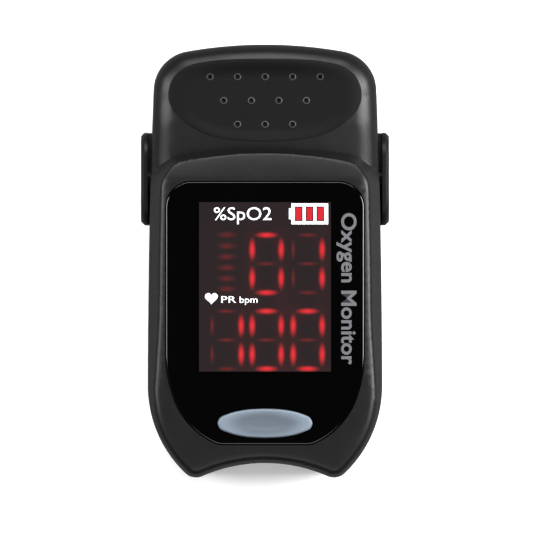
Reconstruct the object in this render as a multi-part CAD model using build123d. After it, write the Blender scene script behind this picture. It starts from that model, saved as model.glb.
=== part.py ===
from build123d import *
import os
from math import radians, tan

# A fingertip pulse oximeter, lying on its battery door with the display up.
# The finger goes in at -Y, the thumb grip is at +Y, X = 0 is the plane of symmetry, and the base is at Z = 0.

# ---- driving dimensions, in millimetres ----
LENGTH = 58.0
HALF_WIDTH = 15.8
EAR_HALF_WIDTH = 16.77
DISPLAY_Z = 33.0
WALL = 1.5
GAP = 0.2  # between parts of the two halves
FIT = 0.1  # between parts of one half

# ---- plan of the two halves ----
HALF_LENGTH = LENGTH / 2
SCALLOP_Y = -27.44
SCALLOP_RADIUS = 21.0
HORN_RADIUS = 2.1
LEAST_RADIUS = 0.9  # of the horns, when the plan is drawn far in
CORNER_RADIUS = 16.3
FLANK_RADIUS = 1050.0  # the sides are almost straight
FLANK_START_Y = -17.0  # where the corner's arc runs into the side's
REAR_ARC_RADIUS = 61.0
REAR_CORNER_RADIUS = 5.4
LOWER_INSET = 0.25
TOP_EDGE_RADIUS = 2.6
BASE_EDGE_RADIUS = 2.2

# ---- heights ----
SPLIT_Z = 18.0
UPPER_EDGE_Z = SPLIT_Z + GAP
LOWER_EDGE_Z = SPLIT_Z - GAP
PIVOT_Y = 10.9
PIVOT_Z = 20.5
GRIP_Z = 31.2
UPPER_WEDGE = 8.0  # the underside of the upper grip rises by this angle
LOWER_WEDGE = 12.5  # the top of the lower grip falls by this angle
PLATEAU_CEILING_Z = 30.4
GRIP_CEILING_Z = 27.5

# ---- ears, the cheeks of the bottom case that hold the hinge pins ----
EAR_START_Y = 4.65
EAR_LENGTH = 12.5
EAR_TOP_Z = 25.2
EAR_BOTTOM_Z = 2.6
EAR_INNER_X = 15.87
EAR_CORNER = 3.2
EAR_BEVEL = 0.45
PIN_RADIUS = 1.5
PIN_RUNNING_FIT = 0.05
PIN_INNER_X = 14.05
PIN_OUTER_X = 16.4

# ---- finger channel ----
CHANNEL_HALF_WIDTH = 8.8
CHANNEL_FLOOR_Z = 15.3
CHANNEL_CEILING_Z = 23.3
CHANNEL_END_Y = 4.0
PAD_THICKNESS = 1.15
PAD_START_Y = -25.6
ARCH_THICKNESS = 1.2
FLANGE_THICKNESS = 1.5
INNER_FLOOR_Z = 13.0

# ---- display ----
LENS_TOP_Z = 32.85
LENS_THICKNESS = 1.15
LENS_HALF_WIDTH = 13.37
LENS_REAR_Y = 10.5
LENS_REAR_RADIUS = 3.5
LENS_TAPER_Y = -12.7
LENS_TAPER_ARCS = ((17.7, 20.0), (10.5, 45.0), (3.0, 25.0))  # radius and turn in degrees, side to front
LENS_CHAMFER = 0.25
BROW_PEAK_Y = 14.4
BROW_ARC_RADIUS = 58.0
BROW_CORNER_RADIUS = 3.2
HOUSING_INSET = 1.1
HOUSING_CHAMFER = 0.9
MODULE_WIDTH = 18.6
MODULE_LENGTH = 23.6
MODULE_Y = -3.7
MODULE_HEIGHT = 3.9
MODULE_CHAMFER = 0.3
BOARD_Z = 26.4
BOARD_THICKNESS = 1.0
BOARD_HALF_WIDTH = 10.5
BOARD_FRONT_Y = -24.4
BOARD_REAR_Y = 9.4
BOARD_CORNER = 1.5
POST_NOTCH_Y = -14.0  # where the board clears the front screw bosses
CHIP_CHAMFER = 0.12
CHIPS = {  # x, y, width, length and height of each component under the board
    "microcontroller": (7.6, -1.0, 5.0, 5.0, 1.0),
    "analog_front_end": (-7.6, -1.0, 4.0, 5.0, 0.9),
    "crystal": (8.0, 5.2, 2.0, 3.2, 0.8),
    "boost_inductor": (-7.6, 5.6, 3.6, 3.6, 1.4),
}
CAPACITOR_X = 8.6
CAPACITOR_YS = (-19.5, -10.0, -6.8)
CAPACITOR_SIZE = (1.2, 2.0, 1.1)

# ---- power button ----
BUTTON_Y = -22.06
BUTTON_LENGTH = 12.74
BUTTON_WIDTH = 3.95
BUTTON_END_SHARE = 0.62  # width of the blunt ends, as a share of the full width
BUTTON_CORNER_SHARE = 0.9  # radius of the ends' corners, as a share of half the blunt end
BUTTON_EDGE_RADIUS = 0.35
BUTTON_SKIRT = 0.5  # how far the cap reaches under the lens
BUTTON_TOP_Z = 33.25
BUTTON_TRAVEL = 0.5
BUTTON_CLEARANCE = 0.25
STEM_HALF_WIDTH = 3.0
STEM_HALF_LENGTH = 1.2
SWITCH_HALF_WIDTH = 2.6
SWITCH_HALF_LENGTH = 1.7
SWITCH_HEIGHT = 1.6
SWITCH_CORNER = 0.4
SWITCH_WELL_RADIUS = 1.0
SWITCH_WELL_FLOOR = 0.5
PLUNGER_RADIUS = 0.9
PLUNGER_RISE = 0.65  # above the switch's housing

# ---- thumb grip ----
GRIP_FRONT_Y = 15.9
GRIP_REAR_Y = 27.0
GRIP_HALF_WIDTH = 13.0
GRIP_FLOOR_Z = 28.7
GRIP_REAR_BEND = (10.2, 26.2)
GRIP_SHOULDER = (GRIP_HALF_WIDTH, 21.6)
GRIP_FRONT_BEND = (7.5, 16.6)
GRIP_SCOOP_RADIUS = 34.0
GRIP_SCOOP_Y = 20.6
GRIP_SCOOP_Z = 29.6
DIMPLE_RADIUS = 0.5
DIMPLE_PITCH = 3.71
DIMPLE_ROWS = ((24.6, 5), (21.4, 4), (18.2, 3))  # y of each row, and how many

# ---- batteries ----
CELL_RADIUS = 5.25
CELL_LENGTH = 44.5
CELL_EDGE_RADIUS = 0.5
CELL_NUB_LENGTH = 0.8
CELL_NUB_RADIUS = 1.9
CELL_X = 5.4
CELL_Z = 7.3
CELL_MIDDLE_Y = -0.2
BAY_FRONT_Y = -24.0
BAY_REAR_Y = 24.4
CONTACT_THICKNESS = 0.3
CONTACT_HALF_WIDTH = 9.0
CONTACT_HALF_HEIGHT = 3.4
REAR_CONTACT_X = (2.0, 8.8)
CONTACT_SPRING_RADIUS = 2.2
CONTACT_SPRING_WIRE = 0.22
CONTACT_SPRING_TURNS = 2
HOLDER_HALF_WIDTH = 9.6
HOLDER_THICKNESS = 0.8
DOOR_LIP_Z = 0.9
DOOR_TOP_Z = 1.9
DOOR_HALF_WIDTH = 10.9
DOOR_FLANGE = 0.8
DOOR_FRONT_Y = -23.4
FINGER_GROOVES = 3
FINGER_GROOVE_Y = 17.0
FINGER_GROOVE_PITCH = 2.0
FINGER_GROOVE_RADIUS = 0.45
FINGER_GROOVE_LENGTH = 12.0
RIB_INNER_X = 12.0
RIB_THICKNESS = 0.9
RIB_START_Y = -18.0
RIB_END_Y = 21.0

# ---- springs, screws, cable ----
SPRING_X = 6.5
SPRING_Y = 21.0
SPRING_RADIUS = 2.3
SPRING_WIRE = 0.3
SPRING_SEAT_Z = 14.1
SPRING_TOP_Z = 24.9
SPRING_TURNS = 5
CUP_RADIUS = 3.0
CUP_WALL = 1.0
SCREW_RADIUS = 0.8
SCREW_PILOT_RADIUS = 0.85
SCREW_HEAD_RADIUS = 1.4
SCREW_HEAD_HEIGHT = 0.9
SCREW_LENGTH = 5.0
SCREW_TIP_GAP = 0.6
SCREW_CROSS_LENGTH = 1.9
SCREW_CROSS_WIDTH = 0.35
SCREW_CROSS_DEPTH = 0.35
BOSS_RADIUS = 1.75
UPPER_SCREWS = ((-12.4, -14.0), (12.4, -14.0), (-11.2, 17.5), (11.2, 17.5))
LOWER_SCREWS = ((-12.2, -9.0), (12.2, -9.0), (-11.9, 17.5), (11.9, 17.5))
RIBBON_WIDTH = 6.0
RIBBON_THICKNESS = 0.25
RIBBON_REAR_Y = 13.4
RIBBON_BEND = 2.4
SLOT_HALF_WIDTH = 4.0
SLOT_FRONT_Y = 8.4
SLOT_REAR_Y = 15.2
SENSOR_Y = -12.0
STRIP_THICKNESS = 0.4
STRIP_JOINT = 0.6  # how far before the cable slot the strip meets the ribbon
SENSOR_WINDOW_RADIUS = 1.6
EMITTER_BOARD_HALF = 3.4
EMITTER_HALF_WIDTH = 2.0
EMITTER_HALF_LENGTH = 2.4
EMITTER_HEIGHT = 1.2
EMITTER_DOME_RADIUS = 1.3
PHOTODIODE_HALF = 1.1
PHOTODIODE_HEIGHT = 0.9
PHOTODIODE_CHAMFER = 0.15
LEAD_RADIUS = 0.4
LEAD_X = 1.0
LEAD_BEND = 1.0
LEAD_RISE = 4.2  # above the axis of the cells
LEAD_TURN_Y = 11.6

FAR = 45.0  # past every face of the part


# ---- helpers ----
def block(x_range, y_range, z_range):
    """A box between two limits on each axis."""
    low = (x_range[0], y_range[0], z_range[0])
    size = (x_range[1] - x_range[0], y_range[1] - y_range[0], z_range[1] - z_range[0])
    return Pos(*low) * Box(*size, align=(Align.MIN, Align.MIN, Align.MIN))


def post(x, y, bottom, top, radius):
    """A vertical cylinder."""
    return Pos(x, y, bottom) * Cylinder(radius, top - bottom, align=(Align.CENTER, Align.CENTER, Align.MIN))


def upright(face, bottom, top):
    """A plan face pushed up between two heights."""
    return Pos(0, 0, bottom) * extrude(face, amount=top - bottom)


def across(corners):
    """A side profile, given as (y, z) corners, pushed right across the part."""
    return extrude(Plane.YZ * make_face(Polyline(*corners, close=True)), amount=FAR, both=True)


def both_sides(solid):
    """A solid and its mirror image about X = 0."""
    return solid + mirror(solid, about=Plane.YZ)


def without(solid, *tools):
    """A solid with several others cut from it."""
    for tool in tools:
        solid = solid - tool
    return solid


# ---- plans ----
def crossing(centre_a, radius_a, centre_b, radius_b, side):
    """The point where two circles cross, on the right (side 1) or left (side -1) of the line from a to b."""
    a = Vector(*centre_a)
    along = Vector(*centre_b) - a
    distance = along.length
    reach = (distance**2 + radius_a**2 - radius_b**2) / (2 * distance)
    height = (radius_a**2 - reach**2) ** 0.5
    unit = along.normalized()
    return a + unit * reach + Vector(unit.Y, -unit.X) * height * side


def body_plan(inset=0.0):
    """The outline that the two halves share, drawn in by inset."""
    corner = ((HALF_WIDTH - CORNER_RADIUS, FLANK_START_Y), CORNER_RADIUS - inset)
    flank = ((HALF_WIDTH - FLANK_RADIUS, FLANK_START_Y), FLANK_RADIUS - inset)
    scallop = ((0, SCALLOP_Y - SCALLOP_RADIUS), SCALLOP_RADIUS + inset)
    rear = ((0, HALF_LENGTH - REAR_ARC_RADIUS), REAR_ARC_RADIUS - inset)
    horn_end = crossing(*corner, *scallop, -1)
    flank_start = Vector(HALF_WIDTH - inset, FLANK_START_Y)
    rear_end = crossing(*flank, *rear, -1)
    edges = [
        *ThreePointArc((-horn_end.X, horn_end.Y), (0, SCALLOP_Y + inset), horn_end).edges(),
        *ThreePointArc(rear_end, (0, HALF_LENGTH - inset), (-rear_end.X, rear_end.Y)).edges(),
    ]
    for line in (RadiusArc(horn_end, flank_start, -corner[1]), RadiusArc(flank_start, rear_end, -flank[1])):
        edges += [*line.edges(), *mirror(line, about=Plane.YZ).edges()]
    plan = Sketch() + make_face(edges)
    plan = fillet(plan.vertices().sort_by(Axis.Y)[:2], max(HORN_RADIUS - inset, LEAST_RADIUS))
    return fillet(plan.vertices().sort_by(Axis.Y)[-2:], REAR_CORNER_RADIUS - inset)


def brow_plan(inset=0.0):
    """The raised display housing: the body's outline, ended at the rear by the arc of the brow."""
    radius = BROW_ARC_RADIUS - inset
    disc = Pos(0, BROW_PEAK_Y - BROW_ARC_RADIUS) * Circle(radius)
    plan = body_plan(HOUSING_INSET + inset) & disc
    return fillet(plan.vertices().sort_by(Axis.Y)[-2:], BROW_CORNER_RADIUS - inset)


def lens_plan(inset=0.0):
    """The tongue shape of the lens: square at the rear, drawn in to a short flat edge at the front."""
    rear_corner = (LENS_HALF_WIDTH, LENS_REAR_Y)
    side = Line(rear_corner, (LENS_HALF_WIDTH, LENS_TAPER_Y))
    right = [side]
    for radius, turn in LENS_TAPER_ARCS:
        right.append(JernArc(start=right[-1] @ 1, tangent=right[-1] % 1, radius=radius, arc_size=-turn))
    front_end = right[-1] @ 1
    front = Line(front_end, (-front_end.X, front_end.Y))
    rear = Line((-rear_corner[0], rear_corner[1]), rear_corner)
    edges = [*front.edges(), *rear.edges()]
    for line in right:
        edges += [*line.edges(), *mirror(line, about=Plane.YZ).edges()]
    plan = Sketch() + make_face(edges)
    rear_corners = [v for v in plan.vertices() if v.Y > LENS_REAR_Y - FIT and abs(v.X) > FIT]
    plan = fillet(rear_corners, LENS_REAR_RADIUS)
    return offset(plan, amount=-inset) if inset else plan


def button_plan(grow=0.0):
    """The button's long rounded shape, with shallow arcs along its two long sides."""
    half_length = BUTTON_LENGTH / 2
    half_width = BUTTON_WIDTH / 2
    end = BUTTON_END_SHARE * half_width
    upper = ThreePointArc((-half_length, end), (0, half_width), (half_length, end))
    lower = ThreePointArc((-half_length, -end), (0, -half_width), (half_length, -end))
    ends = [Line((s * half_length, -end), (s * half_length, end)) for s in (-1, 1)]
    plan = Sketch() + make_face([edge for line in [upper, lower, *ends] for edge in line.edges()])
    plan = fillet(plan.vertices(), end * BUTTON_CORNER_SHARE)
    plan = Pos(0, BUTTON_Y) * plan
    return offset(plan, amount=grow) if grow else plan


def grip_plan(inset=0.0):
    """The thumb grip: flat-arched along the rear, a smooth bow along the front."""
    rear = ThreePointArc((-GRIP_REAR_BEND[0], GRIP_REAR_BEND[1]), (0, GRIP_REAR_Y), GRIP_REAR_BEND)
    side = ThreePointArc(GRIP_REAR_BEND, (12.45, 24.6), GRIP_SHOULDER)
    front = ThreePointArc(GRIP_SHOULDER, (11.6, 18.6), GRIP_FRONT_BEND)
    bow = ThreePointArc(GRIP_FRONT_BEND, (0, GRIP_FRONT_Y), (-GRIP_FRONT_BEND[0], GRIP_FRONT_BEND[1]))
    edges = [*rear.edges(), *bow.edges()]
    for line in (side, front):
        edges += [*line.edges(), *mirror(line, about=Plane.YZ).edges()]
    plan = Sketch() + make_face(edges)
    return offset(plan, amount=-inset) if inset else plan


# ---- the finger channel and what lines it ----
def trough(grow, start_y, end_y, side, skirt=0.0):
    """The finger channel above (side 1) or below (side -1) the split, grown outwards, with a skirt past it."""
    edge_z = SPLIT_Z + side * GAP
    crown_z = CHANNEL_CEILING_Z + grow if side > 0 else CHANNEL_FLOOR_Z - grow
    half_width = CHANNEL_HALF_WIDTH + grow
    arc = ThreePointArc((-half_width, edge_z), (0, crown_z), (half_width, edge_z))
    base_z = edge_z - side * skirt
    right, left = (half_width, edge_z), (-half_width, edge_z)
    if skirt:
        rest = Polyline(right, (half_width, base_z), (-half_width, base_z), left)
    else:
        rest = Line(right, left)
    face = Plane.XZ.offset(-start_y) * make_face([*arc.edges(), *rest.edges()])
    return extrude(face, amount=start_y - end_y)


def upper_trim():
    """Everything below the upper half: a flat split, then a wedge that opens behind the hinge."""
    rise = (FAR - PIVOT_Y) * tan(radians(UPPER_WEDGE))
    facing = [(-FAR, UPPER_EDGE_Z), (PIVOT_Y, UPPER_EDGE_Z), (FAR, UPPER_EDGE_Z + rise)]
    return across([*facing, (FAR, -FAR), (-FAR, -FAR)])


def lower_trim():
    """Everything above the lower half."""
    fall = (FAR - PIVOT_Y) * tan(radians(LOWER_WEDGE))
    facing = [(-FAR, LOWER_EDGE_Z), (PIVOT_Y, LOWER_EDGE_Z), (FAR, LOWER_EDGE_Z - fall)]
    return across([*facing, (FAR, FAR), (-FAR, FAR)])


def hinge_rod(inner_x, outer_x, radius):
    """A round bar on the hinge axis, on the right side."""
    centre = (inner_x + outer_x) / 2
    return Pos(centre, PIVOT_Y, PIVOT_Z) * Rot(0, 90, 0) * Cylinder(radius, outer_x - inner_x)


def wedge_z(y, upper=True):
    """Height of the upper or lower grip's facing surface at y."""
    run = max(0.0, y - PIVOT_Y)
    if upper:
        return UPPER_EDGE_Z + run * tan(radians(UPPER_WEDGE))
    return LOWER_EDGE_Z - run * tan(radians(LOWER_WEDGE))


# ---- upper half ----
def top_cover():
    """Upper shell with the raised display housing, the grip pocket and four screw bosses."""
    base = upright(body_plan(), UPPER_EDGE_Z - WALL, GRIP_Z)
    base = fillet(base.faces().sort_by(Axis.Z)[-1].edges(), TOP_EDGE_RADIUS)
    housing = upright(brow_plan(), GRIP_Z - WALL, DISPLAY_Z)
    housing = chamfer(housing.faces().sort_by(Axis.Z)[-1].edges(), HOUSING_CHAMFER)
    cover = base + housing
    cavity = upright(body_plan(WALL), 0, GRIP_CEILING_Z)
    housing_cavity = upright(brow_plan(WALL), GRIP_CEILING_Z - WALL, PLATEAU_CEILING_Z)
    bosses = [
        post(x, y, wedge_z(y + BOSS_RADIUS) + FLANGE_THICKNESS + FIT, GRIP_CEILING_Z + WALL, BOSS_RADIUS)
        & upright(body_plan(FIT), 0, FAR)
        for x, y in UPPER_SCREWS
    ]
    cover = without(cover, cavity, housing_cavity, upper_trim())
    for boss in bosses:
        cover += boss
    module_half = MODULE_WIDTH / 2 + FIT
    window_y = (MODULE_Y - MODULE_LENGTH / 2 - FIT, MODULE_Y + MODULE_LENGTH / 2 + FIT)
    pilot_depth = FLANGE_THICKNESS + SCREW_LENGTH
    pilots = [post(x, y, 0, wedge_z(y) + pilot_depth, SCREW_PILOT_RADIUS) for x, y in UPPER_SCREWS]
    cover = without(
        cover,
        *pilots,
        upright(lens_plan(-FIT), LENS_TOP_Z - LENS_THICKNESS - FIT / 2, FAR),
        block((-module_half, module_half), window_y, (PLATEAU_CEILING_Z - WALL, FAR)),
        upright(button_plan(BUTTON_CLEARANCE), PLATEAU_CEILING_Z - WALL, FAR),
        upright(grip_plan(-FIT), GRIP_FLOOR_Z, FAR),
        trough(0, -FAR, SCALLOP_Y + 4, 1, WALL),
        both_sides(hinge_rod(PIN_INNER_X - 1, EAR_INNER_X, PIN_RADIUS + PIN_RUNNING_FIT)),
    )
    return cover


def thumb_grip():
    """Soft inlay with a scooped top and rows of dimples."""
    pad = upright(grip_plan(), GRIP_FLOOR_Z + FIT / 2, GRIP_Z - FIT)
    scoop_centre_z = GRIP_SCOOP_Z + GRIP_SCOOP_RADIUS
    scoop = Pos(0, GRIP_SCOOP_Y, scoop_centre_z) * Rot(0, 90, 0) * Cylinder(GRIP_SCOOP_RADIUS, FAR)
    pad -= scoop
    for y, count in DIMPLE_ROWS:
        surface_z = scoop_centre_z - (GRIP_SCOOP_RADIUS**2 - (y - GRIP_SCOOP_Y) ** 2) ** 0.5
        for i in range(count):
            x = (i - (count - 1) / 2) * DIMPLE_PITCH
            pad -= Pos(x, y, surface_z) * Sphere(DIMPLE_RADIUS)
    return pad


def display_lens():
    """Gloss window with a cut-out for the button."""
    lens = upright(lens_plan(), LENS_TOP_Z - LENS_THICKNESS, LENS_TOP_Z)
    lens = chamfer(lens.faces().sort_by(Axis.Z)[-1].edges(), LENS_CHAMFER)
    return lens - upright(button_plan(BUTTON_CLEARANCE), 0, FAR)


def led_display():
    """Display module that stands on the main board under the lens."""
    base_z = BOARD_Z + BOARD_THICKNESS
    module = block(
        (-MODULE_WIDTH / 2, MODULE_WIDTH / 2),
        (MODULE_Y - MODULE_LENGTH / 2, MODULE_Y + MODULE_LENGTH / 2),
        (base_z, base_z + MODULE_HEIGHT),
    )
    return chamfer(module.faces().sort_by(Axis.Z)[-1].edges(), MODULE_CHAMFER)


def main_board():
    board = block(
        (-BOARD_HALF_WIDTH, BOARD_HALF_WIDTH),
        (BOARD_FRONT_Y, BOARD_REAR_Y),
        (BOARD_Z, BOARD_Z + BOARD_THICKNESS),
    )
    board = fillet(board.edges().filter_by(Axis.Z), BOARD_CORNER)
    front_posts = [post(s * (BOARD_HALF_WIDTH + 1), POST_NOTCH_Y, 0, FAR, BOSS_RADIUS + 0.3) for s in (-1, 1)]
    return without(board, *front_posts)


def chip(x, y, width, length, height):
    """A component on the underside of the main board."""
    x_range = (x - width / 2, x + width / 2)
    body = block(x_range, (y - length / 2, y + length / 2), (BOARD_Z - height, BOARD_Z))
    return chamfer(body.faces().sort_by(Axis.Z)[0].edges(), CHIP_CHAMFER)


def capacitors():
    """A row of small capacitors along each side of the board."""
    parts = [chip(s * CAPACITOR_X, y, *CAPACITOR_SIZE) for s in (-1, 1) for y in CAPACITOR_YS]
    return Compound(children=parts)


def switch_housing():
    """Tactile switch on the main board under the power button."""
    base_z = BOARD_Z + BOARD_THICKNESS
    housing = block(
        (-SWITCH_HALF_WIDTH, SWITCH_HALF_WIDTH),
        (BUTTON_Y - SWITCH_HALF_LENGTH, BUTTON_Y + SWITCH_HALF_LENGTH),
        (base_z, base_z + SWITCH_HEIGHT),
    )
    housing = fillet(housing.edges().filter_by(Axis.Z), SWITCH_CORNER)
    return housing - post(0, BUTTON_Y, base_z + SWITCH_WELL_FLOOR, FAR, SWITCH_WELL_RADIUS)


def upper_inner_cover():
    """Cover that closes the upper half, with an arch over the finger pad and two spring cups."""
    plan = body_plan(WALL + FIT)
    flange_top = across(
        [
            (-FAR, UPPER_EDGE_Z + FLANGE_THICKNESS),
            (PIVOT_Y, UPPER_EDGE_Z + FLANGE_THICKNESS),
            (FAR, wedge_z(FAR) + FLANGE_THICKNESS),
            (FAR, FAR),
            (-FAR, FAR),
        ]
    )
    cover = upright(plan, 0, FAR) - flange_top
    arch_end = CHANNEL_END_Y + PAD_THICKNESS + ARCH_THICKNESS + FIT
    arch = trough(PAD_THICKNESS + ARCH_THICKNESS, PAD_START_Y, arch_end, 1)
    cover += arch & upright(plan, 0, FAR)
    cup_base = wedge_z(SPRING_Y) + 0.5
    for s in (-1, 1):
        cover += post(s * SPRING_X, SPRING_Y, cup_base, SPRING_TOP_Z + CUP_WALL, CUP_RADIUS + CUP_WALL)
    heads = [post(x, y, 0, wedge_z(y) + SCREW_HEAD_HEIGHT, SCREW_HEAD_RADIUS + FIT) for x, y in UPPER_SCREWS]
    shanks = [post(x, y, 0, FAR, SCREW_RADIUS + FIT) for x, y in UPPER_SCREWS]
    cups = [post(s * SPRING_X, SPRING_Y, 0, SPRING_TOP_Z, CUP_RADIUS) for s in (-1, 1)]
    opening_x = (-EMITTER_HALF_WIDTH - GAP, EMITTER_HALF_WIDTH + GAP)
    opening_y = (SENSOR_Y - EMITTER_HALF_LENGTH - GAP, SENSOR_Y + EMITTER_HALF_LENGTH + GAP)
    return without(
        cover,
        upper_trim(),
        trough(PAD_THICKNESS + FIT, -FAR, CHANNEL_END_Y + PAD_THICKNESS + FIT, 1, WALL),
        block((-SLOT_HALF_WIDTH, SLOT_HALF_WIDTH), (SLOT_FRONT_Y, SLOT_REAR_Y), (0, FAR)),
        block(opening_x, opening_y, (CHANNEL_CEILING_Z - 1, FAR)),
        *heads,
        *shanks,
        *cups,
    )


def upper_finger_pad():
    """Silicone lining over the finger, closed at its end, with a window for the light."""
    pad = trough(PAD_THICKNESS, PAD_START_Y, CHANNEL_END_Y + PAD_THICKNESS, 1)
    pad -= trough(0, -FAR, CHANNEL_END_Y, 1, WALL)
    return pad - post(0, SENSOR_Y, CHANNEL_CEILING_Z - 2, FAR, SENSOR_WINDOW_RADIUS)


def emitter_board():
    """Small board on the arch that carries the red and infrared emitter."""
    bottom = CHANNEL_CEILING_Z + PAD_THICKNESS + ARCH_THICKNESS + FIT
    half = EMITTER_BOARD_HALF
    return block((-half, half), (SENSOR_Y - half, SENSOR_Y + half), (bottom, bottom + STRIP_THICKNESS))


def led_emitter():
    """Emitter with a domed face that looks down through the pad's window."""
    top = CHANNEL_CEILING_Z + PAD_THICKNESS + ARCH_THICKNESS + FIT
    body = block(
        (-EMITTER_HALF_WIDTH, EMITTER_HALF_WIDTH),
        (SENSOR_Y - EMITTER_HALF_LENGTH, SENSOR_Y + EMITTER_HALF_LENGTH),
        (top - EMITTER_HEIGHT, top),
    )
    return body + post(0, SENSOR_Y, CHANNEL_CEILING_Z + FIT, top - EMITTER_HEIGHT / 2, EMITTER_DOME_RADIUS)


# ---- power button ----
def power_button():
    """Button cap with a rounded edge, and the stem that stands on the switch."""
    lens_bottom = LENS_TOP_Z - LENS_THICKNESS
    cap = upright(button_plan(), lens_bottom - BUTTON_SKIRT, BUTTON_TOP_Z)
    cap = fillet(cap.faces().sort_by(Axis.Z)[-1].edges(), BUTTON_EDGE_RADIUS)
    stem = block(
        (-STEM_HALF_WIDTH, STEM_HALF_WIDTH),
        (BUTTON_Y - STEM_HALF_LENGTH, BUTTON_Y + STEM_HALF_LENGTH),
        (BOARD_Z + BOARD_THICKNESS + SWITCH_HEIGHT + PLUNGER_RISE, lens_bottom),
    )
    return cap + stem


def switch_plunger():
    """Round plunger of the switch, which travels with the button."""
    base_z = BOARD_Z + BOARD_THICKNESS
    bottom = base_z + SWITCH_WELL_FLOOR + BUTTON_TRAVEL + FIT
    return post(0, BUTTON_Y, bottom, base_z + SWITCH_HEIGHT + PLUNGER_RISE, PLUNGER_RADIUS)


# ---- lower half ----
def ear():
    """One hinge cheek, a rounded plate on the right side of the bottom case."""
    width = EAR_HALF_WIDTH - EAR_INNER_X
    y_range = (EAR_START_Y, EAR_START_Y + EAR_LENGTH)
    cheek = block((EAR_INNER_X, EAR_HALF_WIDTH), y_range, (EAR_BOTTOM_Z, EAR_TOP_Z))
    cheek = fillet(cheek.edges().filter_by(Axis.X), EAR_CORNER)
    outer = cheek.faces().sort_by(Axis.X)[-1]
    return chamfer(outer.edges(), min(EAR_BEVEL, width / 2))


def bottom_case():
    """Lower shell with the battery bay, the hinge cheeks and four screw bosses."""
    case = upright(body_plan(LOWER_INSET), 0, FAR / 2)
    case = fillet(case.faces().sort_by(Axis.Z)[0].edges(), BASE_EDGE_RADIUS)
    root_x = HALF_WIDTH - LOWER_INSET - WALL
    root = block((root_x, EAR_INNER_X), (EAR_START_Y, EAR_START_Y + EAR_LENGTH), (EAR_BOTTOM_Z, FAR / 2))
    root = chamfer(root.faces().sort_by(Axis.Z)[0].edges().sort_by(Axis.X)[-1], 1.0)
    case += both_sides(root)
    case -= lower_trim()
    cavity = upright(body_plan(LOWER_INSET + WALL), DOOR_TOP_Z + FIT, FAR)
    case -= cavity
    for s in (-1, 1):
        ribs_x = sorted((s * RIB_INNER_X, s * (RIB_INNER_X + RIB_THICKNESS)))
        case += block(ribs_x, (RIB_START_Y, RIB_END_Y), (DOOR_TOP_Z, INNER_FLOOR_Z - FIT))
    for x, y in LOWER_SCREWS:
        boss = post(x, y, DOOR_TOP_Z, INNER_FLOOR_Z - FIT, BOSS_RADIUS) & upright(body_plan(1), 0, FAR)
        case += boss & both_sides(block((CELL_X + CELL_RADIUS + FIT, FAR), (-FAR, FAR), (0, FAR)))
    opening = DOOR_HALF_WIDTH + FIT
    groove = DOOR_HALF_WIDTH + DOOR_FLANGE + FIT
    case = without(
        case,
        block((-opening, opening), (DOOR_FRONT_Y - FIT, FAR), (-1, DOOR_TOP_Z + FIT)),
        block((-groove, groove), (DOOR_FRONT_Y - FIT, FAR), (DOOR_LIP_Z, DOOR_TOP_Z + FIT)),
        *[post(x, y, INNER_FLOOR_Z - SCREW_LENGTH, FAR, SCREW_PILOT_RADIUS) for x, y in LOWER_SCREWS],
        trough(0, -FAR, SCALLOP_Y + 4, -1, WALL),
    )
    case += both_sides(ear())
    return case - both_sides(hinge_rod(EAR_INNER_X - 1, PIN_OUTER_X, PIN_RADIUS))


def battery_door():
    """Sliding door with flanges that ride in the case's grooves, and three finger grooves."""
    lip = block((-DOOR_HALF_WIDTH, DOOR_HALF_WIDTH), (DOOR_FRONT_Y, FAR), (0, DOOR_LIP_Z + FIT))
    flange_x = DOOR_HALF_WIDTH + DOOR_FLANGE
    flange = block((-flange_x, flange_x), (DOOR_FRONT_Y, FAR), (DOOR_LIP_Z + FIT, DOOR_TOP_Z))
    case = upright(body_plan(LOWER_INSET), 0, FAR / 2)
    case = fillet(case.faces().sort_by(Axis.Z)[0].edges(), BASE_EDGE_RADIUS)
    door = (lip + flange) & case
    for i in range(FINGER_GROOVES):
        y = FINGER_GROOVE_Y + FINGER_GROOVE_PITCH * i
        door -= Pos(0, y, 0) * Rot(0, 90, 0) * Cylinder(FINGER_GROOVE_RADIUS, FINGER_GROOVE_LENGTH)
    return door


def cell(x, way):
    """An AAA cell, its button towards way along Y."""
    can_length = CELL_LENGTH - CELL_NUB_LENGTH
    can = Rot(90, 0, 0) * Cylinder(CELL_RADIUS, can_length)
    can = fillet(can.edges(), CELL_EDGE_RADIUS)
    nub = Rot(90, 0, 0) * Cylinder(CELL_NUB_RADIUS, CELL_NUB_LENGTH + 2 * FIT)
    nub = Pos(0, way * (can_length + CELL_NUB_LENGTH) / 2, 0) * nub
    return Pos(x, CELL_MIDDLE_Y, CELL_Z) * (can + nub)


def contact_plates():
    """Nickel plates at the two ends of the cells: one bridge at the front, two separate at the rear."""
    front_y = (BAY_FRONT_Y + FIT, BAY_FRONT_Y + FIT + CONTACT_THICKNESS)
    rear_y = (BAY_REAR_Y - CONTACT_THICKNESS - FIT, BAY_REAR_Y - FIT)
    z_range = (CELL_Z - CONTACT_HALF_HEIGHT, CELL_Z + CONTACT_HALF_HEIGHT)
    plates = [block((-CONTACT_HALF_WIDTH, CONTACT_HALF_WIDTH), front_y, z_range)]
    for s in (-1, 1):
        plates.append(block(sorted(s * x for x in REAR_CONTACT_X), rear_y, z_range))
    return Compound(children=plates)


def contact_holders():
    """Two plastic walls that stand in the case and hold the contact plates."""
    floor_z = DOOR_TOP_Z + 2 * FIT
    top_z = INNER_FLOOR_Z - FIT
    x_range = (-HOLDER_HALF_WIDTH, HOLDER_HALF_WIDTH)
    walls = []
    for y in (BAY_FRONT_Y - HOLDER_THICKNESS, BAY_REAR_Y):
        walls.append(block(x_range, (y, y + HOLDER_THICKNESS), (floor_z, top_z)))
    return Compound(children=walls)


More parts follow.
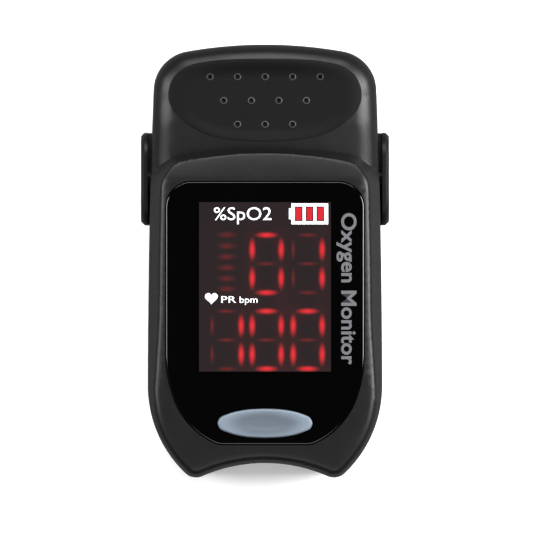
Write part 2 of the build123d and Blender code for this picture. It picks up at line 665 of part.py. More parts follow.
def coil(radius, wire, bottom, top, turns):
    """A round-wire spring along Z, with its wire held inside bottom and top."""
    height = top - bottom - 2 * wire
    path = Helix(pitch=height / turns, height=height, radius=radius)
    section = Plane(origin=path @ 0, z_dir=path % 0) * Circle(wire)
    return Pos(0, 0, bottom + wire) * sweep(section, path=path)


def contact_springs():
    """The springs that press on the flat end of each cell."""
    rear_gap = (CELL_MIDDLE_Y + CELL_LENGTH / 2, BAY_REAR_Y - CONTACT_THICKNESS - FIT)
    front_gap = (BAY_FRONT_Y + FIT + CONTACT_THICKNESS, CELL_MIDDLE_Y - CELL_LENGTH / 2 + 2 * FIT)
    springs = []
    for x, (low, high) in ((-CELL_X, front_gap), (CELL_X, rear_gap)):
        length = high - low - 2 * FIT
        spring = coil(CONTACT_SPRING_RADIUS, CONTACT_SPRING_WIRE, 0, length, CONTACT_SPRING_TURNS)
        springs.append(Pos(x, high - FIT, CELL_Z) * Rot(90, 0, 0) * spring)
    return Compound(children=springs)


def lower_inner_cover():
    """Cover between the cells and the finger, with the pad's bed, a cable slot and two spring seats."""
    plan = body_plan(LOWER_INSET + WALL + FIT)
    cover = without(upright(plan, INNER_FLOOR_Z, FAR), lower_trim())
    strip_half = RIBBON_WIDTH / 2 + FIT
    strip_bottom = CHANNEL_FLOOR_Z - PAD_THICKNESS - FIT - STRIP_THICKNESS - FIT
    return without(
        cover,
        trough(PAD_THICKNESS + FIT, -FAR, CHANNEL_END_Y + PAD_THICKNESS + FIT, -1, WALL),
        block((-strip_half, strip_half), (SENSOR_Y - 4.0, SLOT_REAR_Y), (strip_bottom, CHANNEL_FLOOR_Z)),
        block((-SLOT_HALF_WIDTH, SLOT_HALF_WIDTH), (SLOT_FRONT_Y, SLOT_REAR_Y), (0, FAR)),
        *[post(s * SPRING_X, SPRING_Y, SPRING_SEAT_Z, FAR, CUP_RADIUS) for s in (-1, 1)],
        *[post(x, y, INNER_FLOOR_Z + 1, FAR, SCREW_HEAD_RADIUS + FIT) for x, y in LOWER_SCREWS],
        *[post(x, y, 0, FAR, SCREW_RADIUS + FIT) for x, y in LOWER_SCREWS],
    )


def lower_finger_pad():
    """Silicone lining under the finger, closed at its end, with a window for the photodiode."""
    pad = trough(PAD_THICKNESS, PAD_START_Y, CHANNEL_END_Y + PAD_THICKNESS, -1)
    pad -= trough(0, -FAR, CHANNEL_END_Y, -1, WALL)
    return pad - post(0, SENSOR_Y, 0, CHANNEL_FLOOR_Z + 2, SENSOR_WINDOW_RADIUS)


def sensor_strip():
    """Flex strip under the lower pad, from the photodiode back to the hinge ribbon."""
    top = CHANNEL_FLOOR_Z - PAD_THICKNESS - FIT
    return block(
        (-RIBBON_WIDTH / 2, RIBBON_WIDTH / 2),
        (SENSOR_Y - EMITTER_BOARD_HALF, SLOT_FRONT_Y - STRIP_JOINT),
        (top - STRIP_THICKNESS, top),
    )


def photodiode():
    bottom = CHANNEL_FLOOR_Z - PAD_THICKNESS - FIT
    half = PHOTODIODE_HALF
    chip_body = block((-half, half), (SENSOR_Y - half, SENSOR_Y + half), (bottom, bottom + PHOTODIODE_HEIGHT))
    return chamfer(chip_body.faces().sort_by(Axis.Z)[-1].edges(), PHOTODIODE_CHAMFER)


# ---- hinge, springs, screws, cable ----
def hinge_pins():
    pin = hinge_rod(PIN_INNER_X, PIN_OUTER_X, PIN_RADIUS)
    return Compound(children=[pin, mirror(pin, about=Plane.YZ)])


def clamp_springs():
    """The two springs between the grips that close the clamp."""
    spring = coil(SPRING_RADIUS, SPRING_WIRE, SPRING_SEAT_Z + FIT, SPRING_TOP_Z - FIT, SPRING_TURNS)
    return Compound(children=[Pos(s * SPRING_X, SPRING_Y, 0) * spring for s in (-1, 1)])


def screw(x, y, head_z, way):
    """A self-tapping screw whose head's bearing face is at head_z; way is 1 for a shank that points up."""
    head_height = SCREW_HEAD_HEIGHT - FIT
    head = Pos(0, 0, -way * head_height / 2) * Cylinder(SCREW_HEAD_RADIUS, head_height)
    bar = Box(SCREW_CROSS_LENGTH, SCREW_CROSS_WIDTH, SCREW_CROSS_DEPTH)
    for turn in (0, 90):
        head -= Pos(0, 0, -way * (head_height - SCREW_CROSS_DEPTH / 2)) * Rot(0, 0, turn) * bar
    shank_length = SCREW_LENGTH - SCREW_TIP_GAP
    shank = Pos(0, 0, way * shank_length / 2) * Cylinder(SCREW_RADIUS, shank_length)
    return Pos(x, y, head_z) * (head + shank)


def upper_screws():
    return Compound(children=[screw(x, y, wedge_z(y) + SCREW_HEAD_HEIGHT, 1) for x, y in UPPER_SCREWS])


def lower_screws():
    return Compound(children=[screw(x, y, INNER_FLOOR_Z + 1, -1) for x, y in LOWER_SCREWS])


def hinge_ribbon():
    """Flat cable that bows behind the finger stop, from the sensor strip up to the main board."""
    strip_z = CHANNEL_FLOOR_Z - PAD_THICKNESS - FIT - STRIP_THICKNESS / 2
    board_z = BOARD_Z + BOARD_THICKNESS / 2
    corners = [
        (SLOT_FRONT_Y - STRIP_JOINT + FIT, strip_z),
        (RIBBON_REAR_Y, strip_z),
        (RIBBON_REAR_Y, board_z),
        (BOARD_REAR_Y + FIT, board_z),
    ]
    path = Plane.YZ * FilletPolyline(*corners, radius=RIBBON_BEND)
    start = Plane(origin=path @ 0, x_dir=(1, 0, 0), z_dir=path % 0)
    section = start * Rectangle(RIBBON_WIDTH, RIBBON_THICKNESS)
    return sweep(section, path=path)


def battery_leads():
    """Two wires in the valley between the cells, from the rear contacts up to the cable slot."""
    rear_y = BAY_REAR_Y - CONTACT_THICKNESS - 2 * FIT - LEAD_RADIUS
    run_z = CELL_Z + LEAD_RISE
    leads = []
    for s in (-1, 1):
        corners = [
            (s * LEAD_X, rear_y, run_z),
            (s * LEAD_X, LEAD_TURN_Y, run_z),
            (s * LEAD_X, LEAD_TURN_Y, CHANNEL_FLOOR_Z - PAD_THICKNESS - 1),
        ]
        path = FilletPolyline(*corners, radius=LEAD_BEND)
        section = Plane(origin=path @ 0, z_dir=path % 0) * Circle(LEAD_RADIUS)
        leads.append(sweep(section, path=path))
    return Compound(children=leads)


NODES = {
    "top_cover": top_cover,
    "thumb_grip": thumb_grip,
    "display_lens": display_lens,
    "led_display": led_display,
    "main_board": main_board,
    "microcontroller": lambda: chip(*CHIPS["microcontroller"]),
    "analog_front_end": lambda: chip(*CHIPS["analog_front_end"]),
    "crystal": lambda: chip(*CHIPS["crystal"]),
    "boost_inductor": lambda: chip(*CHIPS["boost_inductor"]),
    "capacitors": capacitors,
    "switch_housing": switch_housing,
    "upper_inner_cover": upper_inner_cover,
    "upper_finger_pad": upper_finger_pad,
    "emitter_board": emitter_board,
    "led_emitter": led_emitter,
    "upper_screws": upper_screws,
    "power_button": power_button,
    "switch_plunger": switch_plunger,
    "bottom_case": bottom_case,
    "battery_door": battery_door,
    "battery_left": lambda: cell(-CELL_X, 1),
    "battery_right": lambda: cell(CELL_X, -1),
    "contact_plates": contact_plates,
    "contact_holders": contact_holders,
    "contact_springs": contact_springs,
    "lower_inner_cover": lower_inner_cover,
    "lower_finger_pad": lower_finger_pad,
    "sensor_strip": sensor_strip,
    "photodiode": photodiode,
    "lower_screws": lower_screws,
    "hinge_pins": hinge_pins,
    "clamp_springs": clamp_springs,
    "hinge_ribbon": hinge_ribbon,
    "battery_leads": battery_leads,
}

os.makedirs("parts", exist_ok=True)
for name, make in NODES.items():
    shape = make()
    export_step(shape, f"parts/{name}.step")
    print(f"{name:20s} solids {len(shape.solids())} volume {shape.volume:9.2f} mm3")
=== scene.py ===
from math import atan2, ceil, cos, exp, hypot, pi, radians, sin, sqrt, tan

import bmesh
import bpy
from mathutils import Matrix, Vector, geometry, kdtree


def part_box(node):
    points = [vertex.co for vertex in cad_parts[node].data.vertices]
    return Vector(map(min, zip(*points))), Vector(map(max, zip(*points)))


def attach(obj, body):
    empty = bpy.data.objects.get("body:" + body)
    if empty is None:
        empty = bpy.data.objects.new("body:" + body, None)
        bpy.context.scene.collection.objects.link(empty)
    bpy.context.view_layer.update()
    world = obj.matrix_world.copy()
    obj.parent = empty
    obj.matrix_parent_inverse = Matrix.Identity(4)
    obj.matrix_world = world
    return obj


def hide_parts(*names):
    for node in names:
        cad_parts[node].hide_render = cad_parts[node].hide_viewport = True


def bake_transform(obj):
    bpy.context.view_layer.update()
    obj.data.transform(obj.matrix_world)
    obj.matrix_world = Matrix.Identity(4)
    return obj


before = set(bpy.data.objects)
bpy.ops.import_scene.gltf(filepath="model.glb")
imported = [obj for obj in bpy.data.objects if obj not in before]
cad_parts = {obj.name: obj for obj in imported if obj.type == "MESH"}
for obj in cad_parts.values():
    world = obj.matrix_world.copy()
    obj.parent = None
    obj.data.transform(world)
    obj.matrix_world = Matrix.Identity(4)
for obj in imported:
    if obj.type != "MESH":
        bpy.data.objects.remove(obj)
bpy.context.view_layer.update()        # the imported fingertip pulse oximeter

MM = 0.001


def box_mm(node):
    """Lowest and highest corner of a CAD node, in millimetres."""
    low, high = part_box(node)
    return low / MM, high / MM


# ---- sizes read from the frame, in millimetres ----
BODY_LOW, BODY_HIGH = box_mm("top_cover")
LENS_HIGH = box_mm("display_lens")[1]
GRIP_LOW, GRIP_HIGH = box_mm("thumb_grip")
BUTTON_LOW, BUTTON_HIGH = box_mm("power_button")
DISPLAY_LOW, DISPLAY_HIGH = box_mm("led_display")
HALF_WIDTH = round(BODY_HIGH.x, 2)
REAR_Y = BODY_HIGH.y
DISPLAY_Z = BODY_HIGH.z
LENS_TOP = LENS_HIGH.z

# ---- plan of the body, in millimetres ----
SPLIT_Z = BODY_LOW.z
PIVOT_Y = 10.9
UPPER_WEDGE = radians(8.0)
SCALLOP_Y = -27.44
SCALLOP_RADIUS = 21.0
HORN_RADIUS = 2.1
CORNER_RADIUS = 16.3
FLANK_RADIUS = 1050.0
FLANK_START_Y = -17.0
REAR_ARC_RADIUS = 61.0
REAR_CORNER_RADIUS = 5.4
WALL = 1.5
CHANNEL_HALF_WIDTH = 8.8
CHANNEL_CEILING_Z = 23.3

# ---- shape of the top ----
DECK_Z = GRIP_HIGH.z + 0.1  # the lower deck round the thumb grip
EDGE_RADIUS = 2.6
DECK_CROWN = 0.0062
DECK_FALL = 0.12
DECK_FALL_Y = 18.5
BROW_PEAK_Y = 14.4
BROW_ARC_RADIUS = 58.0
BROW_CORNER_RADIUS = 3.2
BEVEL_START_Y = LENS_HIGH.y + 0.35
BEVEL_SLOPE = 0.13
HOUSING_EDGE_RADIUS = 0.75
HOUSING_WALL_SLOPE = 3.2
HOUSING_INSET = (0.35, 1.25)  # at the finger end and along the sides
HOUSING_INSET_Y = (-26.0, -6.0)  # between which it changes
HORN_END_RADIUS = 0.8  # of the housing's top edge near the horns
BROW_EDGE_RADIUS = 0.22
HOUSING_CROWN = 0.02
CROWN_WIDTH = 3.0
LENS_GAP = 0.06
GRIP_GAP = 0.04
GRID_STEP = 0.46


# ---- plane geometry ----
def point_at(centre, radius, angle):
    return Vector((centre[0] + radius * cos(angle), centre[1] + radius * sin(angle)))


def arc(centre, radius, start, end, steps):
    """Points on a circle from near start to near end, the shorter way, without the last one."""
    first = atan2(start[1] - centre[1], start[0] - centre[0])
    last = atan2(end[1] - centre[1], end[0] - centre[0])
    turn = (last - first + pi) % (2 * pi) - pi
    return [point_at(centre, radius, first + turn * i / steps) for i in range(steps)]


def crossing(centre_a, radius_a, centre_b, radius_b, side):
    """Where two circles cross, on the right (side 1) or left (side -1) of the line from a to b."""
    along = Vector(centre_b) - Vector(centre_a)
    distance = along.length
    reach = (distance**2 + radius_a**2 - radius_b**2) / (2 * distance)
    height = sqrt(radius_a**2 - reach**2)
    unit = along.normalized()
    return Vector(centre_a) + unit * reach + Vector((unit.y, -unit.x)) * height * side


def toward(centre, point, radius):
    """The point of a circle that faces another point."""
    return Vector(centre) + (Vector(point) - Vector(centre)).normalized() * radius


def mirrored(right_half):
    """A closed outline from its right half, which runs from the front of the plane X = 0 round to its rear."""
    left_half = [Vector((-p.x, p.y)) for p in reversed(right_half)]
    return right_half + left_half


def body_outline(inset=0.0):
    """The outline that both halves share, drawn in by inset; always the same number of points."""
    corner = (HALF_WIDTH - CORNER_RADIUS, FLANK_START_Y)
    flank = (HALF_WIDTH - FLANK_RADIUS, FLANK_START_Y)
    scallop = (0.0, SCALLOP_Y - SCALLOP_RADIUS)
    rear = (0.0, REAR_Y - REAR_ARC_RADIUS)
    horn = max(HORN_RADIUS - inset, 0.4)
    bend = REAR_CORNER_RADIUS - inset
    horn_centre = crossing(corner, CORNER_RADIUS - inset - horn, scallop, SCALLOP_RADIUS + inset + horn, -1)
    bend_centre = crossing(flank, FLANK_RADIUS - inset - bend, rear, REAR_ARC_RADIUS - inset - bend, -1)
    notch_start = Vector((0.05, SCALLOP_Y + inset))
    notch_end = toward(scallop, horn_centre, SCALLOP_RADIUS + inset)
    corner_start = toward(corner, horn_centre, CORNER_RADIUS - inset)
    flank_start = Vector((HALF_WIDTH - inset, FLANK_START_Y))
    bend_start = toward(flank, bend_centre, FLANK_RADIUS - inset)
    bend_end = toward(rear, bend_centre, REAR_ARC_RADIUS - inset)
    rear_end = Vector((0.05, REAR_Y - inset))
    right = arc(scallop, SCALLOP_RADIUS + inset, notch_start, notch_end, 18)
    right += arc(horn_centre, horn, notch_end, corner_start, 12)
    right += arc(corner, CORNER_RADIUS - inset, corner_start, flank_start, 34)
    right += arc(flank, FLANK_RADIUS - inset, flank_start, bend_start, 64)
    right += arc(bend_centre, bend, bend_start, bend_end, 22)
    right += arc(rear, REAR_ARC_RADIUS - inset, bend_end, rear_end, 24) + [rear_end]
    return mirrored(right)


def spline_through(points, steps):
    """A smooth open curve through points, as a Catmull-Rom line."""
    extended = [2 * points[0] - points[1], *points, 2 * points[-1] - points[-2]]
    line = []
    for a, b, c, d in zip(extended, extended[1:], extended[2:], extended[3:]):
        bend = 2 * a - 5 * b + 4 * c - d
        twist = 3 * b - 3 * c + d - a
        for i in range(steps):
            t = i / steps
            line.append(0.5 * ((2 * b) + (c - a) * t + bend * t**2 + twist * t**3))
    return line + [points[-1]]


def offset_line(points, amount):
    """A closed outline moved outwards along its own normals (inwards if amount is negative)."""
    moved = []
    for i, p in enumerate(points):
        tangent = (points[(i + 1) % len(points)] - points[i - 1]).normalized()
        moved.append(p + Vector((tangent.y, -tangent.x)) * amount)
    return moved


def inside(point, outline):
    """Whether a point lies inside a closed outline."""
    x, y = point[0], point[1]
    found = False
    before = outline[-1]
    for p in outline:
        if (p.y > y) != (before.y > y) and x < (before.x - p.x) * (y - p.y) / (before.y - p.y) + p.x:
            found = not found
        before = p
    return found


def tree_of(points):
    """A nearest-point finder for a closed outline, filled in to a fine spacing."""
    fine = []
    for i, p in enumerate(points):
        before = points[i - 1]
        steps = max(1, ceil((p - before).length / 0.05))
        fine += [before.lerp(p, k / steps) for k in range(steps)]
    tree = kdtree.KDTree(len(fine))
    for i, p in enumerate(fine):
        tree.insert((p.x, p.y, 0), i)
    tree.balance()
    return tree


def distance(tree, x, y):
    return tree.find((x, y, 0))[2]


def smoothstep(low, high, value):
    t = min(1.0, max(0.0, (value - low) / (high - low)))
    return t * t * (3 - 2 * t)


def mix(a, b, t):
    return a + (b - a) * t


# ---- outlines of the pieces on the top ----
LENS_HALF_WIDTH = LENS_HIGH.x
LENS_REAR_Y = LENS_HIGH.y
LENS_REAR_RADIUS = 3.5
LENS_TAPER_Y = -12.7
LENS_TAPER_ARCS = ((17.7, 20.0), (10.5, 45.0), (3.0, 25.0))  # radius and turn in degrees, side to front


def lens_outline():
    """The tongue shape of the lens: square at the rear, drawn in to a short flat edge at the front."""
    point, heading = Vector((LENS_HALF_WIDTH, LENS_TAPER_Y)), -pi / 2
    taper = []
    for radius, turn in LENS_TAPER_ARCS:
        centre = point + Vector((cos(heading - pi / 2), sin(heading - pi / 2))) * radius
        heading -= radians(turn)
        end = point_at(centre, radius, heading + pi / 2)
        taper += arc(centre, radius, point, end, 18)
        point = end
    front = [Vector((point.x * i / 14, point.y)) for i in range(14)]
    front[0].x = 0.02
    bend = (LENS_HALF_WIDTH - LENS_REAR_RADIUS, LENS_REAR_Y - LENS_REAR_RADIUS)
    side = [Vector((LENS_HALF_WIDTH, mix(LENS_TAPER_Y, bend[1], i / 40))) for i in range(40)]
    corner = arc(bend, LENS_REAR_RADIUS, (LENS_HALF_WIDTH, bend[1]), (bend[0], LENS_REAR_Y), 16)
    rear = [Vector((bend[0] * (1 - i / 20), LENS_REAR_Y)) for i in range(20)] + [Vector((0.02, LENS_REAR_Y))]
    return mirrored(front + [point] + taper[:0:-1] + side + corner + rear)


def grip_outline():
    """The thumb grip: flat-arched along the rear, drawn in to a smooth bow along the front."""
    knots = [(0.0, 15.9), (3.9, 16.08), (7.5, 16.75), (10.4, 18.2), (12.4, 20.2), (13.0, 22.2), (12.3, 24.5)]
    knots += [(10.3, 26.05), (7.2, 26.72), (3.8, 26.95), (0.0, 27.0)]
    line = spline_through([Vector(k) for k in knots], 9)
    line[0].x = line[-1].x = 0.02
    return mirrored(line)


def button_outline():
    """The button: long, with shallow arcs along its two long sides and rounded ends."""
    middle_y = (BUTTON_LOW.y + BUTTON_HIGH.y) / 2
    half_length, half_width = BUTTON_HIGH.x, (BUTTON_HIGH.y - BUTTON_LOW.y) / 2
    knots = [(0.0, -1.0), (0.33, -0.95), (0.62, -0.8), (0.84, -0.57), (0.95, -0.38), (1.0, 0.0)]
    knots += [(0.95, 0.38), (0.84, 0.57), (0.62, 0.8), (0.33, 0.95), (0.0, 1.0)]
    line = spline_through([Vector((x * half_length, middle_y + y * half_width)) for x, y in knots], 6)
    line[0].x = line[-1].x = 0.02
    return mirrored(line)


EDGE = body_outline()
EDGE_TREE = tree_of(EDGE)
LENS_EDGE = lens_outline()
GRIP_EDGE = grip_outline()
GRIP_TREE = tree_of(GRIP_EDGE)
BUTTON_EDGE = button_outline()
BUTTON_TREE = tree_of(BUTTON_EDGE)


# ---- mesh helpers ----
def make_piece(name, solid, material, body, smooth_angle, standing_for=()):
    """A mesh object from a solid in millimetres; it rides on a body and stands for CAD nodes, where given."""
    mesh = bpy.data.meshes.new(name)
    mesh.from_pydata([Vector(v) * MM for v in solid.vertices], [], solid.faces)
    work = bmesh.new()
    work.from_mesh(mesh)
    bmesh.ops.remove_doubles(work, verts=work.verts, dist=1e-7)
    bmesh.ops.recalc_face_normals(work, faces=work.faces)
    work.to_mesh(mesh)
    work.free()
    mesh.shade_smooth()
    mesh.set_sharp_from_angle(angle=radians(smooth_angle))
    piece = bpy.data.objects.new(name, mesh)
    bpy.context.scene.collection.objects.link(piece)
    for item in material if isinstance(material, list) else [material]:
        mesh.materials.append(item)
    if body:
        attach(piece, body)
    if standing_for:
        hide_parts(*standing_for)
    return piece


def triangulated(loops, loose, lines=()):
    """Triangles between closed loops, the outer one first, through loose points and along open lines."""
    points, edges, owner = [], [], []
    for number, loop in enumerate(loops):
        start = len(points)
        points += [Vector(p[:2]) for p in loop]
        owner += [number] * len(loop)
        edges += [(start + i, start + (i + 1) % len(loop)) for i in range(len(loop))]
    for line in lines:
        start = len(points)
        points += [Vector(p[:2]) for p in line]
        owner += [-1] * len(line)
        edges += [(start + i, start + i + 1) for i in range(len(line) - 1)]
    points += [Vector(p[:2]) for p in loose]
    owner += [-1] * len(loose)
    made, _, faces, origins, _, _ = geometry.delaunay_2d_cdt(points, edges, [], 0, 1e-5)
    place = {}
    kind = []
    for i, sources in enumerate(origins):
        kind.append(owner[sources[0]] if sources else -1)
        for source in sources:
            place[source] = i
    kept = []
    for face in faces:
        kinds = {kind[i] for i in face}
        if len(kinds) == 1 and -1 not in kinds:
            centre = sum((made[i] for i in face), Vector((0, 0))) / 3
            number = kinds.pop()
            if inside(centre, loops[number]) != (number == 0):
                continue
        kept.append(list(face))
    rims, start = [], 0
    for loop in loops:
        rims.append([place[start + i] for i in range(len(loop))])
        start += len(loop)
    return made, kept, rims


def grid_points(outline_box, step, keep):
    """A staggered grid of points over a box, of which keep says which stay."""
    (low_x, high_x), (low_y, high_y) = outline_box
    rows = int((high_y - low_y) / (step * 0.87)) + 1
    found = []
    for j in range(rows):
        y = low_y + j * step * 0.87
        for i in range(int((high_x - low_x) / step) + 1):
            x = low_x + (i + 0.5 * (j % 2)) * step
            if keep(x, y):
                found.append(Vector((x, y)))
    return found


class Solid:
    """Vertices and faces of one closed piece, built up from rings and caps."""

    def __init__(self):
        self.vertices = []
        self.faces = []

    def ring(self, points):
        start = len(self.vertices)
        self.vertices += [tuple(p) for p in points]
        return list(range(start, start + len(points)))

    def bridge(self, low, high):
        """A band of quads between two rings of equal length."""
        count = len(low)
        for i in range(count):
            j = (i + 1) % count
            self.faces.append((low[i], low[j], high[j], high[i]))

    def patch(self, points, faces, height):
        """A triangulated plan raised to a height function; returns where its vertices start."""
        start = len(self.vertices)
        self.vertices += [(p[0], p[1], height(p[0], p[1])) for p in points]
        self.faces += [tuple(start + i for i in face) for face in faces]
        return start


# ---- height of the top cover ----
def round_edge(inward, radius):
    """How far a quarter-round edge lies below its flat top, at a distance in from the edge."""
    if inward >= radius:
        return 0.0
    return radius - sqrt(max(0.0, radius**2 - (radius - max(0.0, inward)) ** 2))


def deck_height(x, y, inward):
    """The deck round the thumb grip: crowned across, falling to the brow, with a round outer edge."""
    crown = DECK_CROWN * x**2 + DECK_FALL * max(0.0, DECK_FALL_Y - y)
    return DECK_Z - crown - round_edge(inward, EDGE_RADIUS)


def housing_inset(y):
    """How far the housing's side stands in from the body's outline; it runs out towards the finger end."""
    return mix(*HOUSING_INSET, smoothstep(*HOUSING_INSET_Y, y))


def housing_depth(x, y, inward):
    """Distance in from the edge of the raised housing, negative outside it."""
    side = inward - housing_inset(y)
    rear = BROW_ARC_RADIUS - hypot(x, y - (BROW_PEAK_Y - BROW_ARC_RADIUS))
    if side < BROW_CORNER_RADIUS and rear < BROW_CORNER_RADIUS and y > 0:
        return BROW_CORNER_RADIUS - hypot(BROW_CORNER_RADIUS - side, BROW_CORNER_RADIUS - rear)
    return min(side, rear)


def housing_height(x, y, inward):
    depth = housing_depth(x, y, inward)
    bevel = BEVEL_SLOPE * max(0.0, y - BEVEL_START_Y)
    side_radius = mix(HORN_END_RADIUS, HOUSING_EDGE_RADIUS, smoothstep(-24.0, -8.0, y))
    radius = mix(side_radius, BROW_EDGE_RADIUS, smoothstep(10.0, 13.0, y))
    crown = HOUSING_CROWN * max(0.0, CROWN_WIDTH - depth) ** 2
    if depth < 0:
        return DISPLAY_Z - bevel - crown - radius + HOUSING_WALL_SLOPE * depth
    return DISPLAY_Z - bevel - crown - round_edge(depth, radius)


def cover_height(x, y):
    """Height of the top cover's outer surface."""
    inward = distance(EDGE_TREE, x, y)
    return max(deck_height(x, y, inward), housing_height(x, y, inward))


def lower_edge_z(x, y):
    """The cover's bottom edge: flat, rising behind the hinge, arched over the finger channel at the front."""
    z = SPLIT_Z + max(0.0, y - PIVOT_Y) * tan(UPPER_WEDGE)
    if y < SCALLOP_Y + 4 and abs(x) < CHANNEL_HALF_WIDTH:
        rise = CHANNEL_CEILING_Z - SPLIT_Z
        radius = (CHANNEL_HALF_WIDTH**2 + rise**2) / (2 * rise)
        z = max(z, CHANNEL_CEILING_Z - radius + sqrt(radius**2 - x**2))
    return z


SIDE_RAYS_Y = (-19.0, 4.0)  # where the sides' level rays start, and where the fan of the brow's rays stands
RAY_REACH = (7.0, 17.0)
BISECTIONS = 22
LEAST_MARGIN = 0.16


def brow_line(above):
    """An open line round the brow and down both sides, where above(x, y, inward) changes from true to false."""
    line = []
    side_rays, bow_rays = 100, 220
    last = 2 * side_rays + bow_rays
    for i in range(last + 1):
        height = mix(*SIDE_RAYS_Y, min(1.0, i / side_rays, (last - i) / side_rays))
        turn = min(1.0, max(0.0, (i - side_rays) / bow_rays))
        centre, way = Vector((0.0, height)), Vector((cos(pi * turn), sin(pi * turn)))
        near, far = RAY_REACH
        for _ in range(BISECTIONS):
            middle = (near + far) / 2
            p = centre + way * middle
            if inside(p, EDGE) and above(p.x, p.y, distance(EDGE_TREE, p.x, p.y)):
                near = middle
            else:
                far = middle
        p = centre + way * near
        if distance(EDGE_TREE, p.x, p.y) > LEAST_MARGIN:
            line.append(p)
    return line


def on_housing(x, y, inward):
    return housing_height(x, y, inward) > deck_height(x, y, inward)


def deeper_than(level):
    return lambda x, y, inward: housing_depth(x, y, inward) > level


# ---- pieces of the upper half ----
LEDGE_DEPTH = 1.3
LEDGE_WIDTH = 1.1
CEILING_Z = 27.2
POCKET_Z = 28.7
EDGE_RINGS = (0.12, 0.3, 0.55, 0.85, 1.2, 1.6, 2.05, 2.55)  # distances in from the outline
EDGE_BAND = 2.8
HOUSING_LEVELS = (0.0, -0.12, 0.12, 0.25, 0.4, 0.6)  # distances in from the housing's edge
SMOOTH_COVER = 38


def top_cover(material):
    """Upper shell: domed top with the raised housing, a stepped opening for the lens and the grip's pocket."""
    lens_hole = offset_line(LENS_EDGE, LENS_GAP)
    grip_hole = offset_line(GRIP_EDGE, GRIP_GAP)
    hole_trees = [tree_of(lens_hole), tree_of(grip_hole)]
    rings = [body_outline(inset)[:: 1 if inset < 1 else 2] for inset in EDGE_RINGS]
    creases = [brow_line(on_housing)] + [brow_line(deeper_than(level)) for level in HOUSING_LEVELS]
    crease_tree = tree_of([p for line in creases[:2] for p in line + line[::-1]])

    def free(x, y, clear=0.2):
        """Whether a loose point may stand here: inside the outline, outside the holes, off the crease lines."""
        if not inside((x, y), EDGE) or any(distance(tree, x, y) < clear for tree in hole_trees):
            return False
        if inside((x, y), lens_hole) or inside((x, y), grip_hole):
            return False
        return distance(crease_tree, x, y) > 0.08

    loose = [p for ring in rings for p in ring if free(*p)]
    loose += grid_points(
        ((-HALF_WIDTH, HALF_WIDTH), (SCALLOP_Y - 2, REAR_Y)),
        GRID_STEP,
        lambda x, y: distance(EDGE_TREE, x, y) > EDGE_BAND and free(x, y, 0.28),
    )
    loose += [p for line in creases[2:] for p in line[::2] if free(p.x, p.y, 0.15)]
    points, faces, rims = triangulated([EDGE, lens_hole, grip_hole], loose, creases[:2])
    shell = Solid()
    shell.patch(points, faces, cover_height)
    outer_rim, lens_rim, grip_rim = rims
    below = shell.ring([(p.x, p.y, lower_edge_z(p.x, p.y)) for p in EDGE])
    shell.bridge(below, outer_rim)
    inner = body_outline(WALL)
    inner_below = shell.ring([(p.x, p.y, lower_edge_z(p.x, p.y)) for p in inner])
    shell.bridge(inner_below, below)
    ledge_z = LENS_TOP - LEDGE_DEPTH
    ledge_outer = shell.ring([(p.x, p.y, ledge_z) for p in lens_hole])
    shell.bridge(lens_rim, ledge_outer)
    window = offset_line(LENS_EDGE, -LEDGE_WIDTH)
    ledge_inner = shell.ring([(p.x, p.y, ledge_z) for p in window])
    shell.bridge(ledge_outer, ledge_inner)
    floor_points, floor_faces, floor_rims = triangulated([grip_hole], [])
    start = shell.patch(floor_points, floor_faces, lambda x, y: POCKET_Z)
    shell.bridge(grip_rim, [start + i for i in floor_rims[0]])
    ceiling_points, ceiling_faces, ceiling_rims = triangulated([inner, window], [])
    start = shell.patch(ceiling_points, ceiling_faces, lambda x, y: CEILING_Z)
    shell.bridge([start + i for i in ceiling_rims[0]], inner_below)
    shell.bridge(ledge_inner, [start + i for i in ceiling_rims[1]])
    return make_piece(
        "top_cover_shell", shell, material, "upper_half", SMOOTH_COVER, ["top_cover"]
    )


DIMPLE_PITCH = 3.71
DIMPLE_ROWS = ((24.6, 5), (21.4, 4), (18.2, 3))
DIMPLES = [Vector(((i - (n - 1) / 2) * DIMPLE_PITCH, y)) for y, n in DIMPLE_ROWS for i in range(n)]
DIMPLE_PROFILE = ((0.14, -0.3), (0.25, -0.26), (0.3, -0.02), (0.37, 0.07), (0.46, 0.05), (0.56, 0.0))
NUB_HIGHLIGHT_RING = (0.3, 0.46)  # the shiny ring of each nub, painted lighter as a highlight, from and to its middle
GRIP_SCOOP = 0.85
GRIP_RINGS = (0.1, 0.22, 0.4, 0.65, 0.95, 1.3, 1.7, 2.15)  # distances in from the grip's outline


def grip_height(x, y):
    """The thumb grip: a soft scoop with rounded lips, and small ring-shaped nubs with a hollow middle."""
    inward = distance(GRIP_TREE, x, y)
    rim_z = cover_height(x, y)
    scoop_width = mix(1.5, 2.4, smoothstep(17.0, 26.0, y))
    z = mix(rim_z - 0.04, DECK_Z - GRIP_SCOOP, smoothstep(0.0, scoop_width, inward))
    for nub in DIMPLES:
        away = hypot(x - nub.x, y - nub.y)
        if away < DIMPLE_PROFILE[-1][0]:
            before = (0.0, DIMPLE_PROFILE[0][1])
            for step in DIMPLE_PROFILE:
                if away <= step[0] + 1e-6:
                    share = (away - before[0]) / (step[0] - before[0])
                    return z + mix(before[1], step[1], share)
                before = step
    return z


